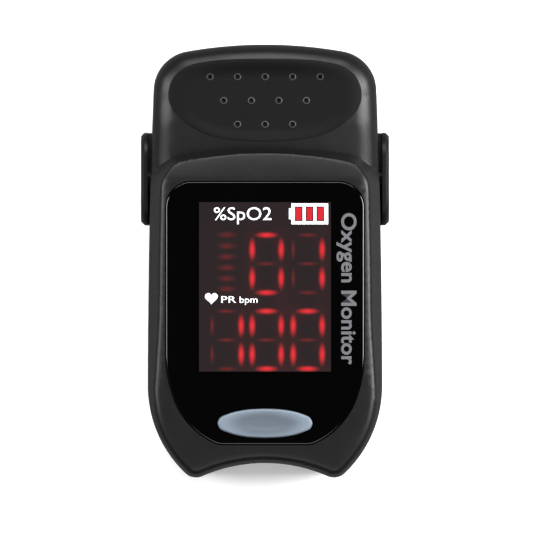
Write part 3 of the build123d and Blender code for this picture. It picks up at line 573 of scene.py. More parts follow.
def thumb_grip(materials):
    """The soft inlay; its first material is the rubber, its second the shiny rims of the nubs, painted paler as
    a highlight.
    """
    rings = [offset_line(GRIP_EDGE, -inset) for inset in GRIP_RINGS]
    loose = [p for ring in rings for p in ring]
    loose += grid_points(
        ((GRIP_LOW.x, GRIP_HIGH.x), (GRIP_LOW.y, GRIP_HIGH.y)),
        0.4,
        lambda x, y: inside((x, y), GRIP_EDGE)
        and distance(GRIP_TREE, x, y) > 2.4
        and all(hypot(x - nub.x, y - nub.y) > 0.75 for nub in DIMPLES),
    )
    for nub in DIMPLES:
        loose.append(nub)
        for radius, _ in (*DIMPLE_PROFILE, (0.68, 0)):
            loose += [point_at(nub, radius, 2 * pi * k / 20) for k in range(20)]
    points, faces, rims = triangulated([GRIP_EDGE], loose)
    pad = Solid()
    pad.patch(points, faces, grip_height)
    floor_points, floor_faces, floor_rims = triangulated([GRIP_EDGE], [])
    start = pad.patch(floor_points, floor_faces, lambda x, y: POCKET_Z + 0.05)
    pad.bridge([start + i for i in floor_rims[0]], rims[0])
    piece = make_piece("thumb_grip_pad", pad, materials, "upper_half", 60, ["thumb_grip"])
    # faces on each nub's rim take the paler rubber: a painted highlight
    for face in piece.data.polygons:
        x, y, z = face.center / MM
        reach = min(hypot(x - nub.x, y - nub.y) for nub in DIMPLES)
        if z > POCKET_Z + 0.2 and NUB_HIGHLIGHT_RING[0] < reach < NUB_HIGHLIGHT_RING[1]:
            face.material_index = 1
    return piece


# The display's window in the lens, worked out from the module below it.
WINDOW_HALF_WIDTH = DISPLAY_HIGH.x - 0.43
WINDOW_LOW_Y = DISPLAY_LOW.y + 0.4
WINDOW_HIGH_Y = DISPLAY_HIGH.y - 0.4
BUTTON_HOLE_GAP = 0.16
LENS_THICKNESS = 1.1
LENS_BEVEL = ((0.0, 0.22), (0.03, 0.12), (0.09, 0.045), (0.17, 0.01), (0.26, 0.0))  # distance in, drop


def oblong(low_x, low_y, high_x, high_y):
    """The four corners of a rectangle."""
    return [Vector(c) for c in ((high_x, low_y), (high_x, high_y), (low_x, high_y), (low_x, low_y))]


def rectangle(half_width, low_y, high_y, steps=12):
    """A closed rectangle with points along its sides."""
    corners = oblong(-half_width, low_y, half_width, high_y)
    return [corners[i].lerp(corners[(i + 1) % 4], k / steps) for i in range(4) for k in range(steps)]


def display_lens(material):
    """Gloss window with a fine bevel, a cut-out for the button and a clear field over the display."""
    window = rectangle(WINDOW_HALF_WIDTH, WINDOW_LOW_Y, WINDOW_HIGH_Y)
    button_hole = offset_line(BUTTON_EDGE, BUTTON_HOLE_GAP)
    lens = Solid()
    rings = [lens.ring([(p.x, p.y, LENS_TOP - LENS_THICKNESS) for p in LENS_EDGE])]
    for inset, drop in LENS_BEVEL:
        rings.append(lens.ring([(p.x, p.y, LENS_TOP - drop) for p in offset_line(LENS_EDGE, -inset)]))
    for low, high in zip(rings, rings[1:]):
        lens.bridge(low, high)
    flat_edge = offset_line(LENS_EDGE, -LENS_BEVEL[-1][0])
    for z, far_ring in ((LENS_TOP, rings[-1]), (LENS_TOP - LENS_THICKNESS, rings[0])):
        edge = flat_edge if z == LENS_TOP else LENS_EDGE
        points, faces, rims = triangulated([edge, window, button_hole], [])
        start = lens.patch(points, faces, lambda x, y, level=z: level)
        lens.bridge([start + i for i in rims[0]], far_ring)
        if z == LENS_TOP:
            upper = [[start + i for i in rim] for rim in rims[1:]]
        else:
            for top_rim, low_rim in zip(upper, rims[1:]):
                lens.bridge([start + i for i in low_rim], top_rim)
    return make_piece("display_lens_window", lens, material, "upper_half", 35, ["display_lens"])


def display_face(material):
    """The display's face, seen through the lens, as a plate flush in its window."""
    loop = rectangle(WINDOW_HALF_WIDTH - 0.005, WINDOW_LOW_Y + 0.005, WINDOW_HIGH_Y - 0.005)
    face = Solid()
    levels = (LENS_TOP - 0.01, DISPLAY_LOW.z + 0.02)
    starts = []
    for z in levels:
        points, faces, rims = triangulated([loop], [])
        start = face.patch(points, faces, lambda x, y, level=z: level)
        starts.append([start + i for i in rims[0]])
    face.bridge(starts[1], starts[0])
    return make_piece("display_module", face, material, "upper_half", 30, ["led_display"])


BUTTON_DISH = 0.16
BUTTON_DISH_REACH = (BUTTON_HIGH.x * 0.8, 1.15)
BUTTON_EDGE_RADIUS = 0.34
BUTTON_BOTTOM_Z = LENS_TOP - LENS_THICKNESS - 0.4
BUTTON_RINGS = (0.04, 0.1, 0.18, 0.28, 0.4, 0.58)  # distances in from the button's outline
STEM_HALF = (3.0, 1.2)


def button_height(x, y):
    """The cap: a rounded edge, a raised rim and a shallow dish in its middle."""
    middle_y = (BUTTON_LOW.y + BUTTON_HIGH.y) / 2
    inward = distance(BUTTON_TREE, x, y)
    across = hypot(x / BUTTON_DISH_REACH[0], (y - middle_y) / BUTTON_DISH_REACH[1])
    dish = BUTTON_DISH * (1 - smoothstep(0.35, 1.05, across))
    return BUTTON_HIGH.z - round_edge(inward, BUTTON_EDGE_RADIUS) - dish


def power_button(material):
    """The button's cap with its stem."""
    rings = [offset_line(BUTTON_EDGE, -inset) for inset in BUTTON_RINGS]
    loose = [p for ring in rings for p in ring]
    loose += grid_points(
        ((-BUTTON_HIGH.x, BUTTON_HIGH.x), (BUTTON_LOW.y, BUTTON_HIGH.y)),
        0.24,
        lambda x, y: inside((x, y), BUTTON_EDGE) and distance(BUTTON_TREE, x, y) > 0.66,
    )
    points, faces, rims = triangulated([BUTTON_EDGE], loose)
    cap = Solid()
    cap.patch(points, faces, button_height)
    stem_y = (BUTTON_LOW.y + BUTTON_HIGH.y) / 2
    stem = [Vector((p.x, p.y + stem_y)) for p in rectangle(STEM_HALF[0], -STEM_HALF[1], STEM_HALF[1], 4)]
    floor_points, floor_faces, floor_rims = triangulated([BUTTON_EDGE, stem], [])
    start = cap.patch(floor_points, floor_faces, lambda x, y: BUTTON_BOTTOM_Z)
    cap.bridge([start + i for i in floor_rims[0]], rims[0])
    foot_points, foot_faces, foot_rims = triangulated([stem], [])
    foot = cap.patch(foot_points, foot_faces, lambda x, y: BUTTON_LOW.z)
    cap.bridge([foot + i for i in foot_rims[0]], [start + i for i in floor_rims[1]])
    return make_piece("power_button_cap", cap, material, "button", 50, ["power_button"])


# ---- soft linings, springs and cables ----
PAD_THICKNESS = 1.15
SENSOR_Y = -12.0
SENSOR_WINDOW = 1.6
RIB_HEIGHT = 0.07
RIB_PITCH = 1.5
RIBS_START = (1.5, 3.5)  # from the mouth: where the ribs begin, and where they are full
RIB_CLEARANCE = 1.2  # over which the ribs fade round the sensor window
LIP_HEIGHT = 0.18
LIP_LENGTH = 0.7
PAD_BACK_GAP = 0.05  # the pad's back stays this far inside its CAD thickness
PAD_BACK_SHARE = 0.995  # of its width, which the pad's back keeps


def finger_pad(name, node, body, side, material):
    """A silicone lining: an arched sheet with a lip at the mouth, fine ribs and a closed rear end."""
    low, high = box_mm(node)
    edge_z = low.z if side > 0 else high.z
    crown = (high.z - PAD_THICKNESS if side > 0 else low.z + PAD_THICKNESS) - edge_z
    stations, around = 96, 48
    length = high.y - low.y - PAD_THICKNESS
    radius = (CHANNEL_HALF_WIDTH**2 + crown**2) / (2 * abs(crown))
    sweep = atan2(CHANNEL_HALF_WIDTH, radius - abs(crown))
    centre_z = edge_z + crown - side * radius
    pad = Solid()
    rings = []
    for i in range(stations + 1):
        y = low.y + length * i / stations
        lip = LIP_HEIGHT * exp(-(((y - low.y) / LIP_LENGTH) ** 2))
        rib = RIB_HEIGHT * cos(2 * pi * (y - low.y) / RIB_PITCH) * smoothstep(*RIBS_START, y - low.y)
        rib *= smoothstep(SENSOR_WINDOW, SENSOR_WINDOW + RIB_CLEARANCE, abs(y - SENSOR_Y))
        section = []
        for k in range(around + 1):
            angle = mix(-sweep, sweep, k / around)
            fade = sin(pi * k / around) ** 0.5
            r = radius + lip - max(0.0, rib) * fade
            section.append((r * sin(angle), y, centre_z + side * r * cos(angle)))
        for k in range(around, -1, -1):
            angle = mix(-sweep, sweep, k / around)
            r = radius + PAD_THICKNESS - PAD_BACK_GAP
            z = max(low.z, min(high.z, centre_z + side * r * cos(angle)))
            section.append((r * sin(angle) * PAD_BACK_SHARE, y, z))
        rings.append(pad.ring(section))
    for near, far in zip(rings, rings[1:]):
        pad.bridge(near, far)
    pad.faces.append(tuple(reversed(rings[0])))
    count = around + 1
    back = pad.ring([(x, high.y, z) for x, _, z in (pad.vertices[i] for i in rings[-1])])
    pad.bridge(rings[-1], back)
    inner = rings[-1][:count]
    pad.faces.append(tuple(inner))
    pad.faces.append(tuple(back[:count]))
    for k in range(count - 1):
        pad.faces.append((back[k], back[k + 1], back[2 * count - 2 - k], back[2 * count - 1 - k]))
    return make_piece(name, pad, material, body, 60, [node])


def tube(path, radius, sides=10):
    """A round bar along a path, as a closed solid."""
    bar = Solid()
    rings = []
    for i, p in enumerate(path):
        ahead = (path[min(i + 1, len(path) - 1)] - path[max(i - 1, 0)]).normalized()
        across = ahead.cross(Vector((0, 0, 1)) if abs(ahead.z) < 0.9 else Vector((1, 0, 0))).normalized()
        up = across.cross(ahead)
        turns = [2 * pi * k / sides for k in range(sides)]
        rings.append(bar.ring([p + (across * cos(t) + up * sin(t)) * radius for t in turns]))
    for near, far in zip(rings, rings[1:]):
        bar.bridge(near, far)
    bar.faces += [tuple(reversed(rings[0])), tuple(rings[-1])]
    return bar


SPRING_WIRE = 0.3
SPRING_TURNS = 5
CLOSED_TURNS = 0.9


def clamp_spring(name, side, material, standing_for=()):
    """One compression spring between the grips, with close end turns."""
    low, high = box_mm("clamp_springs")
    middle_y = (low.y + high.y) / 2
    radius = (high.y - low.y) / 2 - SPRING_WIRE
    centre_x = side * (high.x - radius - SPRING_WIRE)
    bottom, top = low.z + SPRING_WIRE, high.z - SPRING_WIRE
    total = SPRING_TURNS + 2 * CLOSED_TURNS
    closed = CLOSED_TURNS * 2 * SPRING_WIRE * 1.05
    path = []
    steps = 260
    for i in range(steps + 1):
        turn = total * i / steps
        if turn < CLOSED_TURNS:
            z = bottom + closed * turn / CLOSED_TURNS
        elif turn > total - CLOSED_TURNS:
            z = top - closed * (total - turn) / CLOSED_TURNS
        else:
            z = mix(bottom + closed, top - closed, (turn - CLOSED_TURNS) / SPRING_TURNS)
        path.append(Vector((centre_x + radius * cos(2 * pi * turn), middle_y + radius * sin(2 * pi * turn), z)))
    bar = tube(path, SPRING_WIRE)
    piece = make_piece(name, bar, material, None, 60, standing_for)
    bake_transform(piece)
    return piece


RIBBON_BEND = 2.4
RIBBON_GROOVES = 10


def hinge_ribbon(material):
    """The flat cable from the sensor strip up to the main board, with a groove between each two conductors."""
    low, high = box_mm("hinge_ribbon")
    half_thick = 0.125
    rear = high.y - half_thick
    bottom, top = low.z + half_thick, high.z - half_thick
    lower_bend, upper_bend = (rear - RIBBON_BEND, bottom + RIBBON_BEND), (rear - RIBBON_BEND, top - RIBBON_BEND)
    line = [Vector((low.y, bottom)).lerp(Vector((lower_bend[0], bottom)), i / 8) for i in range(8)]
    line += [point_at(lower_bend, RIBBON_BEND, -pi / 2 + pi / 2 * i / 14) for i in range(14)]
    line += [Vector((rear, mix(lower_bend[1], upper_bend[1], i / 20))) for i in range(20)]
    line += [point_at(upper_bend, RIBBON_BEND, pi / 2 * i / 14) for i in range(14)]
    end_y = box_mm("main_board")[1].y + 0.1
    line += [Vector((mix(upper_bend[0], end_y, i / 8), top)) for i in range(9)]
    across = 4 * RIBBON_GROOVES
    strip = Solid()
    rings = []
    for i, p in enumerate(line):
        ahead = (line[min(i + 1, len(line) - 1)] - line[max(i - 1, 0)]).normalized()
        normal = Vector((-ahead.y, ahead.x))
        section = []
        for way in (1, -1):
            for k in range(across + 1):
                x = mix(low.x, high.x, k / across) * way
                groove = 0.05 * max(0.0, cos(2 * pi * k / 4)) if 0 < k < across else 0.04
                q = p + normal * way * (half_thick - groove)
                section.append((x, q.x, q.y))
        rings.append(strip.ring(section))
    for near, far in zip(rings, rings[1:]):
        strip.bridge(near, far)
    strip.faces += [tuple(reversed(rings[0])), tuple(rings[-1])]
    piece = make_piece("hinge_ribbon_cable", strip, material, None, 40, ["hinge_ribbon"])
    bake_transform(piece)
    return piece


# ---- printed marks on the display ----
PRINT_Z = LENS_TOP + 0.004
PRINT_THICKNESS = 0.012
CAPITAL_SHARE = 0.69  # height of a capital, as a share of the font's size
UNIT_LABELS = (  # piece, words, height of a capital, left end, width
    ("label_saturation", "%SpO2", 1.71, (-6.95, 5.3), 7.75),
    ("label_pulse", "PR", 0.89, (-6.02, -5.84), 2.0),
    ("label_rate", "bpm", 0.86, (-3.5, -5.84), 2.4),
)
PURPOSE_LABEL = ("label_purpose", "Oxygen Monitor", 1.95, (10.32, 6.3), 20.4)
HEART_CENTRE = (-7.22, -5.32)
HEART_WIDTH = 1.72


def lettering(name, words, height, place, width, material, turn=0.0, weight=0.0):
    """Thin raised lettering; height is of a capital, place is its left end on the base line."""
    curve = bpy.data.curves.new(name + "_outline", "FONT")
    curve.body = words
    curve.resolution_u = 4
    curve.offset = weight
    curve.extrude = PRINT_THICKNESS * MM / 2
    source = bpy.data.objects.new(name + "_source", curve)
    bpy.context.scene.collection.objects.link(source)
    bpy.context.view_layer.update()
    mesh = bpy.data.meshes.new_from_object(source)
    bpy.data.objects.remove(source)
    scale = height / CAPITAL_SHARE * MM
    spread = max(v.co.x for v in mesh.vertices) - min(v.co.x for v in mesh.vertices)
    stretch = width * MM / (spread * scale)
    shrink = Matrix.Diagonal((scale * stretch, scale, 1.0, 1.0))
    at = Matrix.Translation((place[0] * MM, place[1] * MM, PRINT_Z * MM))
    mesh.transform(at @ Matrix.Rotation(radians(turn), 4, "Z") @ shrink)
    mesh.materials.clear()
    mesh.materials.append(material)
    piece = bpy.data.objects.new(name, mesh)
    bpy.context.scene.collection.objects.link(piece)
    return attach(piece, "upper_half")


def plate(name, loops, material):
    """A thin flat mark bounded by closed loops, of which the first is the outer one."""
    low_z, high_z = PRINT_Z - PRINT_THICKNESS / 2, PRINT_Z + PRINT_THICKNESS / 2
    points, triangles, rims = triangulated(loops, [])
    mark = Solid()
    top = mark.patch(points, triangles, lambda x, y: high_z)
    bottom = mark.patch(points, triangles, lambda x, y: low_z)
    for rim in rims:
        mark.bridge([bottom + i for i in rim], [top + i for i in rim])
    return make_piece(name, mark, material, "upper_half", 30)


def heart_outline(centre, width):
    """A heart from its usual parametric formula."""
    line = []
    for i in range(60):
        t = 2 * pi * (i + 0.5) / 60
        x = 16 * sin(t) ** 3
        y = 13 * cos(t) - 5 * cos(2 * t) - 2 * cos(3 * t) - cos(4 * t)
        line.append(Vector((centre[0] + x * width / 32, centre[1] + (y + 2.5) * width / 32)))
    return line[::-1]


BATTERY_CELLS = 3
BATTERY_PITCH = 1.45
BATTERY_BOX = (3.56, 4.72, 8.49, 7.52)  # lowest and highest x and y
BATTERY_NUB = (3.22, 5.4, 6.87)  # its far end, and from and to where on Y
BATTERY_WINDOW = (4.01, 5.13, 5.07, 7.13)
LAMP_MARGIN = 0.14


def battery_window(number, margin=0.0):
    """One of the battery symbol's windows, or with a margin, the lamp inside it."""
    low_x, low_y, high_x, high_y = BATTERY_WINDOW
    move = BATTERY_PITCH * number
    return oblong(low_x + move + margin, low_y + margin, high_x + move - margin, high_y - margin)


def battery_icon(material):
    """A white battery outline with three windows and a nub on its left end."""
    low_x, low_y, high_x, high_y = BATTERY_BOX
    nub_x, nub_low_y, nub_high_y = BATTERY_NUB
    frame_line = [Vector((high_x, low_y)), Vector((high_x, high_y)), Vector((low_x, high_y))]
    frame_line += [Vector((low_x, nub_high_y)), Vector((nub_x, nub_high_y))]
    frame_line += [Vector((nub_x, nub_low_y)), Vector((low_x, nub_low_y)), Vector((low_x, low_y))]
    windows = [battery_window(i) for i in range(BATTERY_CELLS)]
    return plate("battery_icon", [frame_line, *windows], material)


# ---- materials ----
class Shade:
    """A material's node tree, with short calls for the nodes used here."""

    def __init__(self, name, **constants):
        self.material = bpy.data.materials.new(name)
        self.material.use_nodes = True
        self.tree = self.material.node_tree
        self.shader = self.tree.nodes["Principled BSDF"]
        for socket, value in constants.items():
            self.shader.inputs[socket.replace("_", " ")].default_value = value
        self.place = self.tree.nodes.new("ShaderNodeTexCoord").outputs["Object"]

    def node(self, kind, inputs=(), **settings):
        made = self.tree.nodes.new(kind)
        for name, value in settings.items():
            setattr(made, name, value)
        for key, value in dict(inputs).items():
            if isinstance(value, bpy.types.NodeSocket):
                self.tree.links.new(value, made.inputs[key])
            else:
                made.inputs[key].default_value = value
        return made

    def noise(self, size_mm, detail=3.0, roughness=0.55, stretch=(1, 1, 1)):
        """Noise whose features are about size_mm across."""
        place = self.node("ShaderNodeVectorMath", {0: self.place, 1: stretch}, operation="MULTIPLY").outputs[0]
        inputs = {"Vector": place, "Scale": 1 / (size_mm * MM), "Detail": detail, "Roughness": roughness}
        return self.node("ShaderNodeTexNoise", inputs).outputs["Fac"]

    def cells(self, size_mm):
        inputs = {"Vector": self.place, "Scale": 1 / (size_mm * MM)}
        return self.node("ShaderNodeTexVoronoi", inputs).outputs["Distance"]

    def reach(self, centre_mm, half_size_mm):
        """0 in the middle of an ellipse seen from above, 1 on its edge."""
        middle = (centre_mm[0] * MM, centre_mm[1] * MM, 0.0)
        squeeze = (1 / (half_size_mm[0] * MM), 1 / (half_size_mm[1] * MM), 0.0)
        kind = "ShaderNodeVectorMath"
        offset = self.node(kind, {0: self.place, 1: middle}, operation="SUBTRACT").outputs[0]
        scaled = self.node(kind, {0: offset, 1: squeeze}, operation="MULTIPLY").outputs[0]
        return self.node(kind, {0: scaled}, operation="LENGTH").outputs["Value"]

    def math(self, operation, a, b=0.0, clamp=False):
        return self.node("ShaderNodeMath", {0: a, 1: b}, operation=operation, use_clamp=clamp).outputs[0]

    def between(self, value, low, high):
        """A 0 to 1 value spread between two numbers."""
        return self.node("ShaderNodeMapRange", {"Value": value, "To Min": low, "To Max": high}).outputs[0]

    def blend_colours(self, value, low, high):
        made = self.node("ShaderNodeMix", {"Factor": value}, data_type="RGBA")
        for socket, colour in ((6, low), (7, high)):
            if isinstance(colour, bpy.types.NodeSocket):
                self.tree.links.new(colour, made.inputs[socket])
            else:
                made.inputs[socket].default_value = (*colour, 1.0)
        return made.outputs[2]

    def colour(self, socket):
        self.tree.links.new(socket, self.shader.inputs["Base Color"])
        return self

    def rough(self, socket):
        self.tree.links.new(socket, self.shader.inputs["Roughness"])
        return self

    def bump(self, height, depth_mm, strength=1.0):
        inputs = {"Height": height, "Distance": depth_mm * MM, "Strength": strength}
        normal = self.node("ShaderNodeBump", inputs).outputs[0]
        self.tree.links.new(normal, self.shader.inputs["Normal"])
        return self


def moulded(name, dark, light, roughness, grain_mm, depth_mm, specular=0.5):
    """Moulded plastic: a fine spark-eroded grain over a slow mottling of tone."""
    shade = Shade(name, Specular_IOR_Level=specular)
    shade.colour(shade.blend_colours(shade.noise(6.0, 4.0), dark, light))
    shade.rough(shade.between(shade.noise(1.7, 5.0), roughness - 0.05, roughness + 0.05))
    pits = shade.math("MULTIPLY", shade.cells(grain_mm * 1.6), 0.6)
    return shade.bump(shade.math("ADD", shade.noise(grain_mm, 2.0), pits), depth_mm).material


def brushed_metal(name, dark, light, roughness, stretch):
    """Metal with fine streaks; stretch says how much finer they are along each axis."""
    shade = Shade(name, Metallic=1.0)
    shade.colour(shade.blend_colours(shade.noise(1.2, 4.0, stretch=stretch), dark, light))
    shade.rough(shade.between(shade.noise(0.5, 4.0, stretch=stretch), roughness - 0.08, roughness + 0.1))
    return shade.bump(shade.noise(0.12, 3.0, stretch=stretch), 0.004).material


def silicone(name, dark, light, roughness):
    """Soft matt rubber with a faint sheen."""
    shade = Shade(name, Specular_IOR_Level=0.35, Sheen_Weight=0.12, Sheen_Roughness=0.5)
    shade.colour(shade.blend_colours(shade.noise(2.5, 4.0), dark, light))
    shade.rough(shade.between(shade.noise(0.9, 4.0), roughness - 0.06, roughness + 0.06))
    return shade.bump(shade.noise(0.14, 3.0), 0.006).material


def gloss_black():
    """The lens: deep black with a hard clear gloss and the faintest haze from handling."""
    shade = Shade("lens_gloss_black", Specular_IOR_Level=0.5, Coat_Weight=0.3, Coat_Roughness=0.02)
    depths = (0.0002, 0.0002, 0.00025), (0.0005, 0.0005, 0.0006)
    shade.colour(shade.blend_colours(shade.noise(9.0, 2.0), *depths))
    return shade.rough(shade.between(shade.noise(3.0, 5.0, 0.65), 0.03, 0.09)).material


def button_plastic():
    """Blue-grey translucent-looking plastic with fine moulding streaks, painted paler along its raised rim as a
    highlight.
    """
    shade = Shade("button_blue_grey", Specular_IOR_Level=0.4, Subsurface_Weight=0.08, Subsurface_Scale=0.001)
    # painted highlight: the colour grows paler from the cap's middle out to its raised rim
    reach = shade.reach((0.0, (BUTTON_LOW.y + BUTTON_HIGH.y) / 2), (BUTTON_HIGH.x, 2.15))
    inputs = {"Value": reach, "From Min": 0.45, "From Max": 1.0}
    rim = shade.node("ShaderNodeMapRange", inputs, interpolation_type="SMOOTHSTEP").outputs[0]
    streaks = shade.between(shade.noise(1.4, 5.0, stretch=(0.35, 1.6, 1)), -0.16, 0.16)
    tone = shade.math("ADD", rim, streaks, True)
    shade.colour(shade.blend_colours(tone, (0.078, 0.097, 0.12), (0.15, 0.185, 0.225)))
    shade.rough(shade.between(shade.noise(0.8, 4.0), 0.34, 0.48))
    return shade.bump(shade.noise(0.16, 3.0), 0.004).material


# The display: three columns of seven-segment cells in two rows, a bar graph, and what each cell shows.
CELL_X = (-5.16, 0.22, 5.735)
CELL_WIDTH = 3.9
ROW_Y = (-0.6, -10.85)
CELL_HEIGHT = 7.75
SEGMENTS = {  # where each lies in a cell, as shares of half its width and height, and whether it is upright
    "a": (0.0, 1.0, False),
    "b": (1.0, 0.5, True),
    "c": (1.0, -0.5, True),
    "d": (0.0, -1.0, False),
    "e": (-1.0, -0.5, True),
    "f": (-1.0, 0.5, True),
    "g": (0.0, 0.0, False),
}
DIGITS = {"0": "abcdef", "1": "bc"}
SHOWN = (((1, "0"), (2, "1")), ((0, "1"), (1, "0"), (2, "0")))
LIT_SIZE = ((1.95, 0.56), (0.62, 1.95))  # half sizes of the glow of a level and of an upright segment
UNLIT_SIZE = ((1.8, 0.42), (0.42, 1.8))
# unlit segments are given a faint painted glow
UNLIT_PAINTED_GLOW = 0.2
HALO_REACH = 3.2  # half sizes of a lit segment, to where its haze ends
HALO_BRIGHTNESS = 0.02
BAR_X = -5.15
BAR_SIZE = (1.75, 0.62)
BAR_BRIGHTNESS = 0.17
BAR_YS = (3.32, 1.81, 0.35, -1.12, -2.58, -3.97)


def display_lights():
    """Yields each lit or unlit element as its centre, half sizes and brightness; an unlit one's brightness is a
    painted glow.
    """
    for row_y, digits in zip(ROW_Y, SHOWN):
        for column, digit in digits:
            for name, (across, up, upright) in SEGMENTS.items():
                centre = (CELL_X[column] + across * CELL_WIDTH / 2, row_y + up * CELL_HEIGHT / 2)
                lit = name in DIGITS[digit]
                size = (LIT_SIZE if lit else UNLIT_SIZE)[upright]
                yield centre, size, 1.0 if lit else UNLIT_PAINTED_GLOW
    for y in BAR_YS:
        yield (BAR_X, y), BAR_SIZE, BAR_BRIGHTNESS


GLOW_TONES = (  # brightness of a segment, and its colour
    (0.0, (0.0, 0.0, 0.0)),
    (0.08, (0.035, 0.002, 0.002)),
    (0.35, (0.22, 0.006, 0.008)),
    (0.75, (0.62, 0.012, 0.018)),
    (1.0, (0.82, 0.018, 0.028)),
)


def display_material():
    """A dark red-grey face, its tone a faint painted glow, on which each lit segment glows brightest at its
    middle and each unlit one shows by a fainter painted glow.
    """
    shade = Shade("display_face_red", Roughness=0.3, Specular_IOR_Level=0.12)
    total = 0.0
    cloud = 0.0
    for centre, size, brightness in display_lights():
        reach = shade.reach(centre, size)
        inputs = {"Value": reach, "From Min": 1.0, "From Max": 0.0, "To Max": brightness}
        glow = shade.node("ShaderNodeMapRange", inputs, interpolation_type="SMOOTHSTEP").outputs[0]
        total = shade.math("ADD", total, glow)
        if brightness == 1.0:
            inputs = {"Value": reach, "From Min": HALO_REACH, "From Max": 0.3, "To Max": HALO_BRIGHTNESS}
            halo = shade.node("ShaderNodeMapRange", inputs, interpolation_type="SMOOTHERSTEP").outputs[0]
            cloud = shade.math("ADD", cloud, halo)
    haze = shade.between(shade.noise(3.0, 3.0), 0.4, 1.0)
    grain = shade.between(shade.noise(0.3, 2.0), 0.94, 1.06)
    glowing = shade.math("MULTIPLY", shade.math("ADD", total, shade.math("MULTIPLY", cloud, haze)), grain)
    ramp = shade.node("ShaderNodeValToRGB", {"Fac": glowing})
    for position, _ in GLOW_TONES[1:-1]:
        ramp.color_ramp.elements.new(position)
    for element, (_, colour) in zip(ramp.color_ramp.elements, GLOW_TONES):
        element.color = (*colour, 1.0)
    # the face's red-grey tone is a painted glow, added to the segments' light, over a near-black colour
    base = shade.blend_colours(shade.noise(4.5, 3.0), (0.0155, 0.0135, 0.0145), (0.026, 0.015, 0.017))
    shade.colour(shade.blend_colours(shade.noise(2.5, 3.0), (0.002, 0.0015, 0.0015), (0.004, 0.002, 0.002)))
    summed = shade.node("ShaderNodeVectorMath", {0: ramp.outputs[0], 1: base}, operation="ADD").outputs[0]
    shade.tree.links.new(summed, shade.shader.inputs["Emission Color"])
    shade.shader.inputs["Emission Strength"].default_value = 1.0
    return shade.material


def glowing_print(name, colour, strength, variation_mm=0.5):
    """Marks with slightly uneven ink that glow: lit lamp marks, and print given a painted glow."""
    shade = Shade(name, Roughness=0.5, Specular_IOR_Level=0.2, Emission_Strength=strength)
    darker = tuple(c * 0.86 for c in colour)
    ink = shade.blend_colours(shade.noise(variation_mm, 3.0), darker, colour)
    shade.colour(ink)
    shade.tree.links.new(ink, shade.shader.inputs["Emission Color"])
    return shade.material


BOARD_PATTERN = 420.0  # pattern units to the metre; a row of copper runs is a quarter of one


def circuit_board():
    """Green solder mask with slightly paler copper runs under it."""
    shade = Shade("circuit_board_green", Specular_IOR_Level=0.5)
    inputs = {"Vector": shade.place, "Scale": BOARD_PATTERN, "Mortar Size": 0.012}
    lines = shade.node("ShaderNodeTexBrick", inputs).outputs["Fac"]
    shade.colour(shade.blend_colours(lines, (0.008, 0.06, 0.03), (0.02, 0.12, 0.055)))
    shade.rough(shade.between(shade.noise(0.6, 4.0), 0.3, 0.42))
    return shade.bump(lines, 0.02, 0.5).material


def battery_jacket():
    """The cell's printed sleeve, a plain band of grey and dark blue with fine wear."""
    shade = Shade("battery_sleeve", Metallic=0.35, Specular_IOR_Level=0.5)
    spread = shade.node("ShaderNodeSeparateXYZ", {0: shade.place}).outputs["Y"]
    inputs = {"Value": spread, "From Min": 6.8 * MM, "From Max": 7.2 * MM}
    band = shade.node("ShaderNodeMapRange", inputs).outputs[0]
    wear = shade.math("MULTIPLY", shade.noise(0.7, 6.0, 0.7), 0.25)
    tone = shade.math("ADD", band, wear, True)
    shade.colour(shade.blend_colours(tone, (0.02, 0.035, 0.08), (0.45, 0.46, 0.48)))
    shade.rough(shade.between(shade.noise(0.5, 4.0), 0.25, 0.4))
    return shade.bump(shade.noise(0.3, 3.0), 0.004).material


SHELL_TONES = (0.0038, 0.0038, 0.0041), (0.0048, 0.0048, 0.0052)
CASE_TONES = (0.004, 0.004, 0.0043), (0.0052, 0.0052, 0.0056)
DOOR_TONES = (0.0044, 0.0044, 0.0047), (0.006, 0.006, 0.0063)
GRIP_TONES = (0.0019, 0.0019, 0.002), (0.0026, 0.0026, 0.0027)
# the nubs' rims: the grip's rubber painted about ten times paler, as a highlight
NUB_PAINTED_HIGHLIGHT_TONES = (0.022, 0.022, 0.023), (0.034, 0.034, 0.036)
SHELL_BLACK = moulded("shell_black", *SHELL_TONES, 0.36, 0.1, 0.006, 0.3)
CASE_BLACK = moulded("case_black", *CASE_TONES, 0.4, 0.1, 0.006, 0.22)
DOOR_BLACK = moulded("door_black", *DOOR_TONES, 0.46, 0.13, 0.009, 0.18)
GRIP_RUBBER = moulded("grip_rubber_black", *GRIP_TONES, 0.6, 0.16, 0.008, 0.12)
# paler rubber for the nub rims, a painted highlight
NUB_RUBBER_PAINTED_HIGHLIGHT = moulded("grip_nub_painted_highlight", *NUB_PAINTED_HIGHLIGHT_TONES, 0.4, 0.16, 0.004, 0.5)
LENS_BLACK = gloss_black()
BUTTON_BLUE = button_plastic()
DISPLAY_RED = display_material()
PAD_SILICONE = silicone("pad_silicone", (0.03, 0.031, 0.034), (0.042, 0.043, 0.047), 0.6)
INNER_PLASTIC = moulded("inner_plastic", (0.016, 0.016, 0.018), (0.022, 0.022, 0.024), 0.5, 0.18, 0.008)
BOARD_GREEN = circuit_board()
CHIP_BLACK = moulded("chip_black", (0.012, 0.012, 0.013), (0.02, 0.02, 0.021), 0.5, 0.06, 0.003)
CERAMIC = moulded("ceramic_tan", (0.28, 0.2, 0.12), (0.36, 0.27, 0.17), 0.4, 0.08, 0.003)
SWITCH_METAL = brushed_metal("switch_metal", (0.5, 0.5, 0.5), (0.65, 0.65, 0.64), 0.3, (1, 5, 1))
PIN_BLACK = brushed_metal("pin_black", (0.02, 0.02, 0.021), (0.035, 0.035, 0.036), 0.4, (6, 1, 1))
SPRING_STEEL = brushed_metal("spring_steel", (0.4, 0.4, 0.41), (0.58, 0.58, 0.58), 0.26, (1, 1, 4))
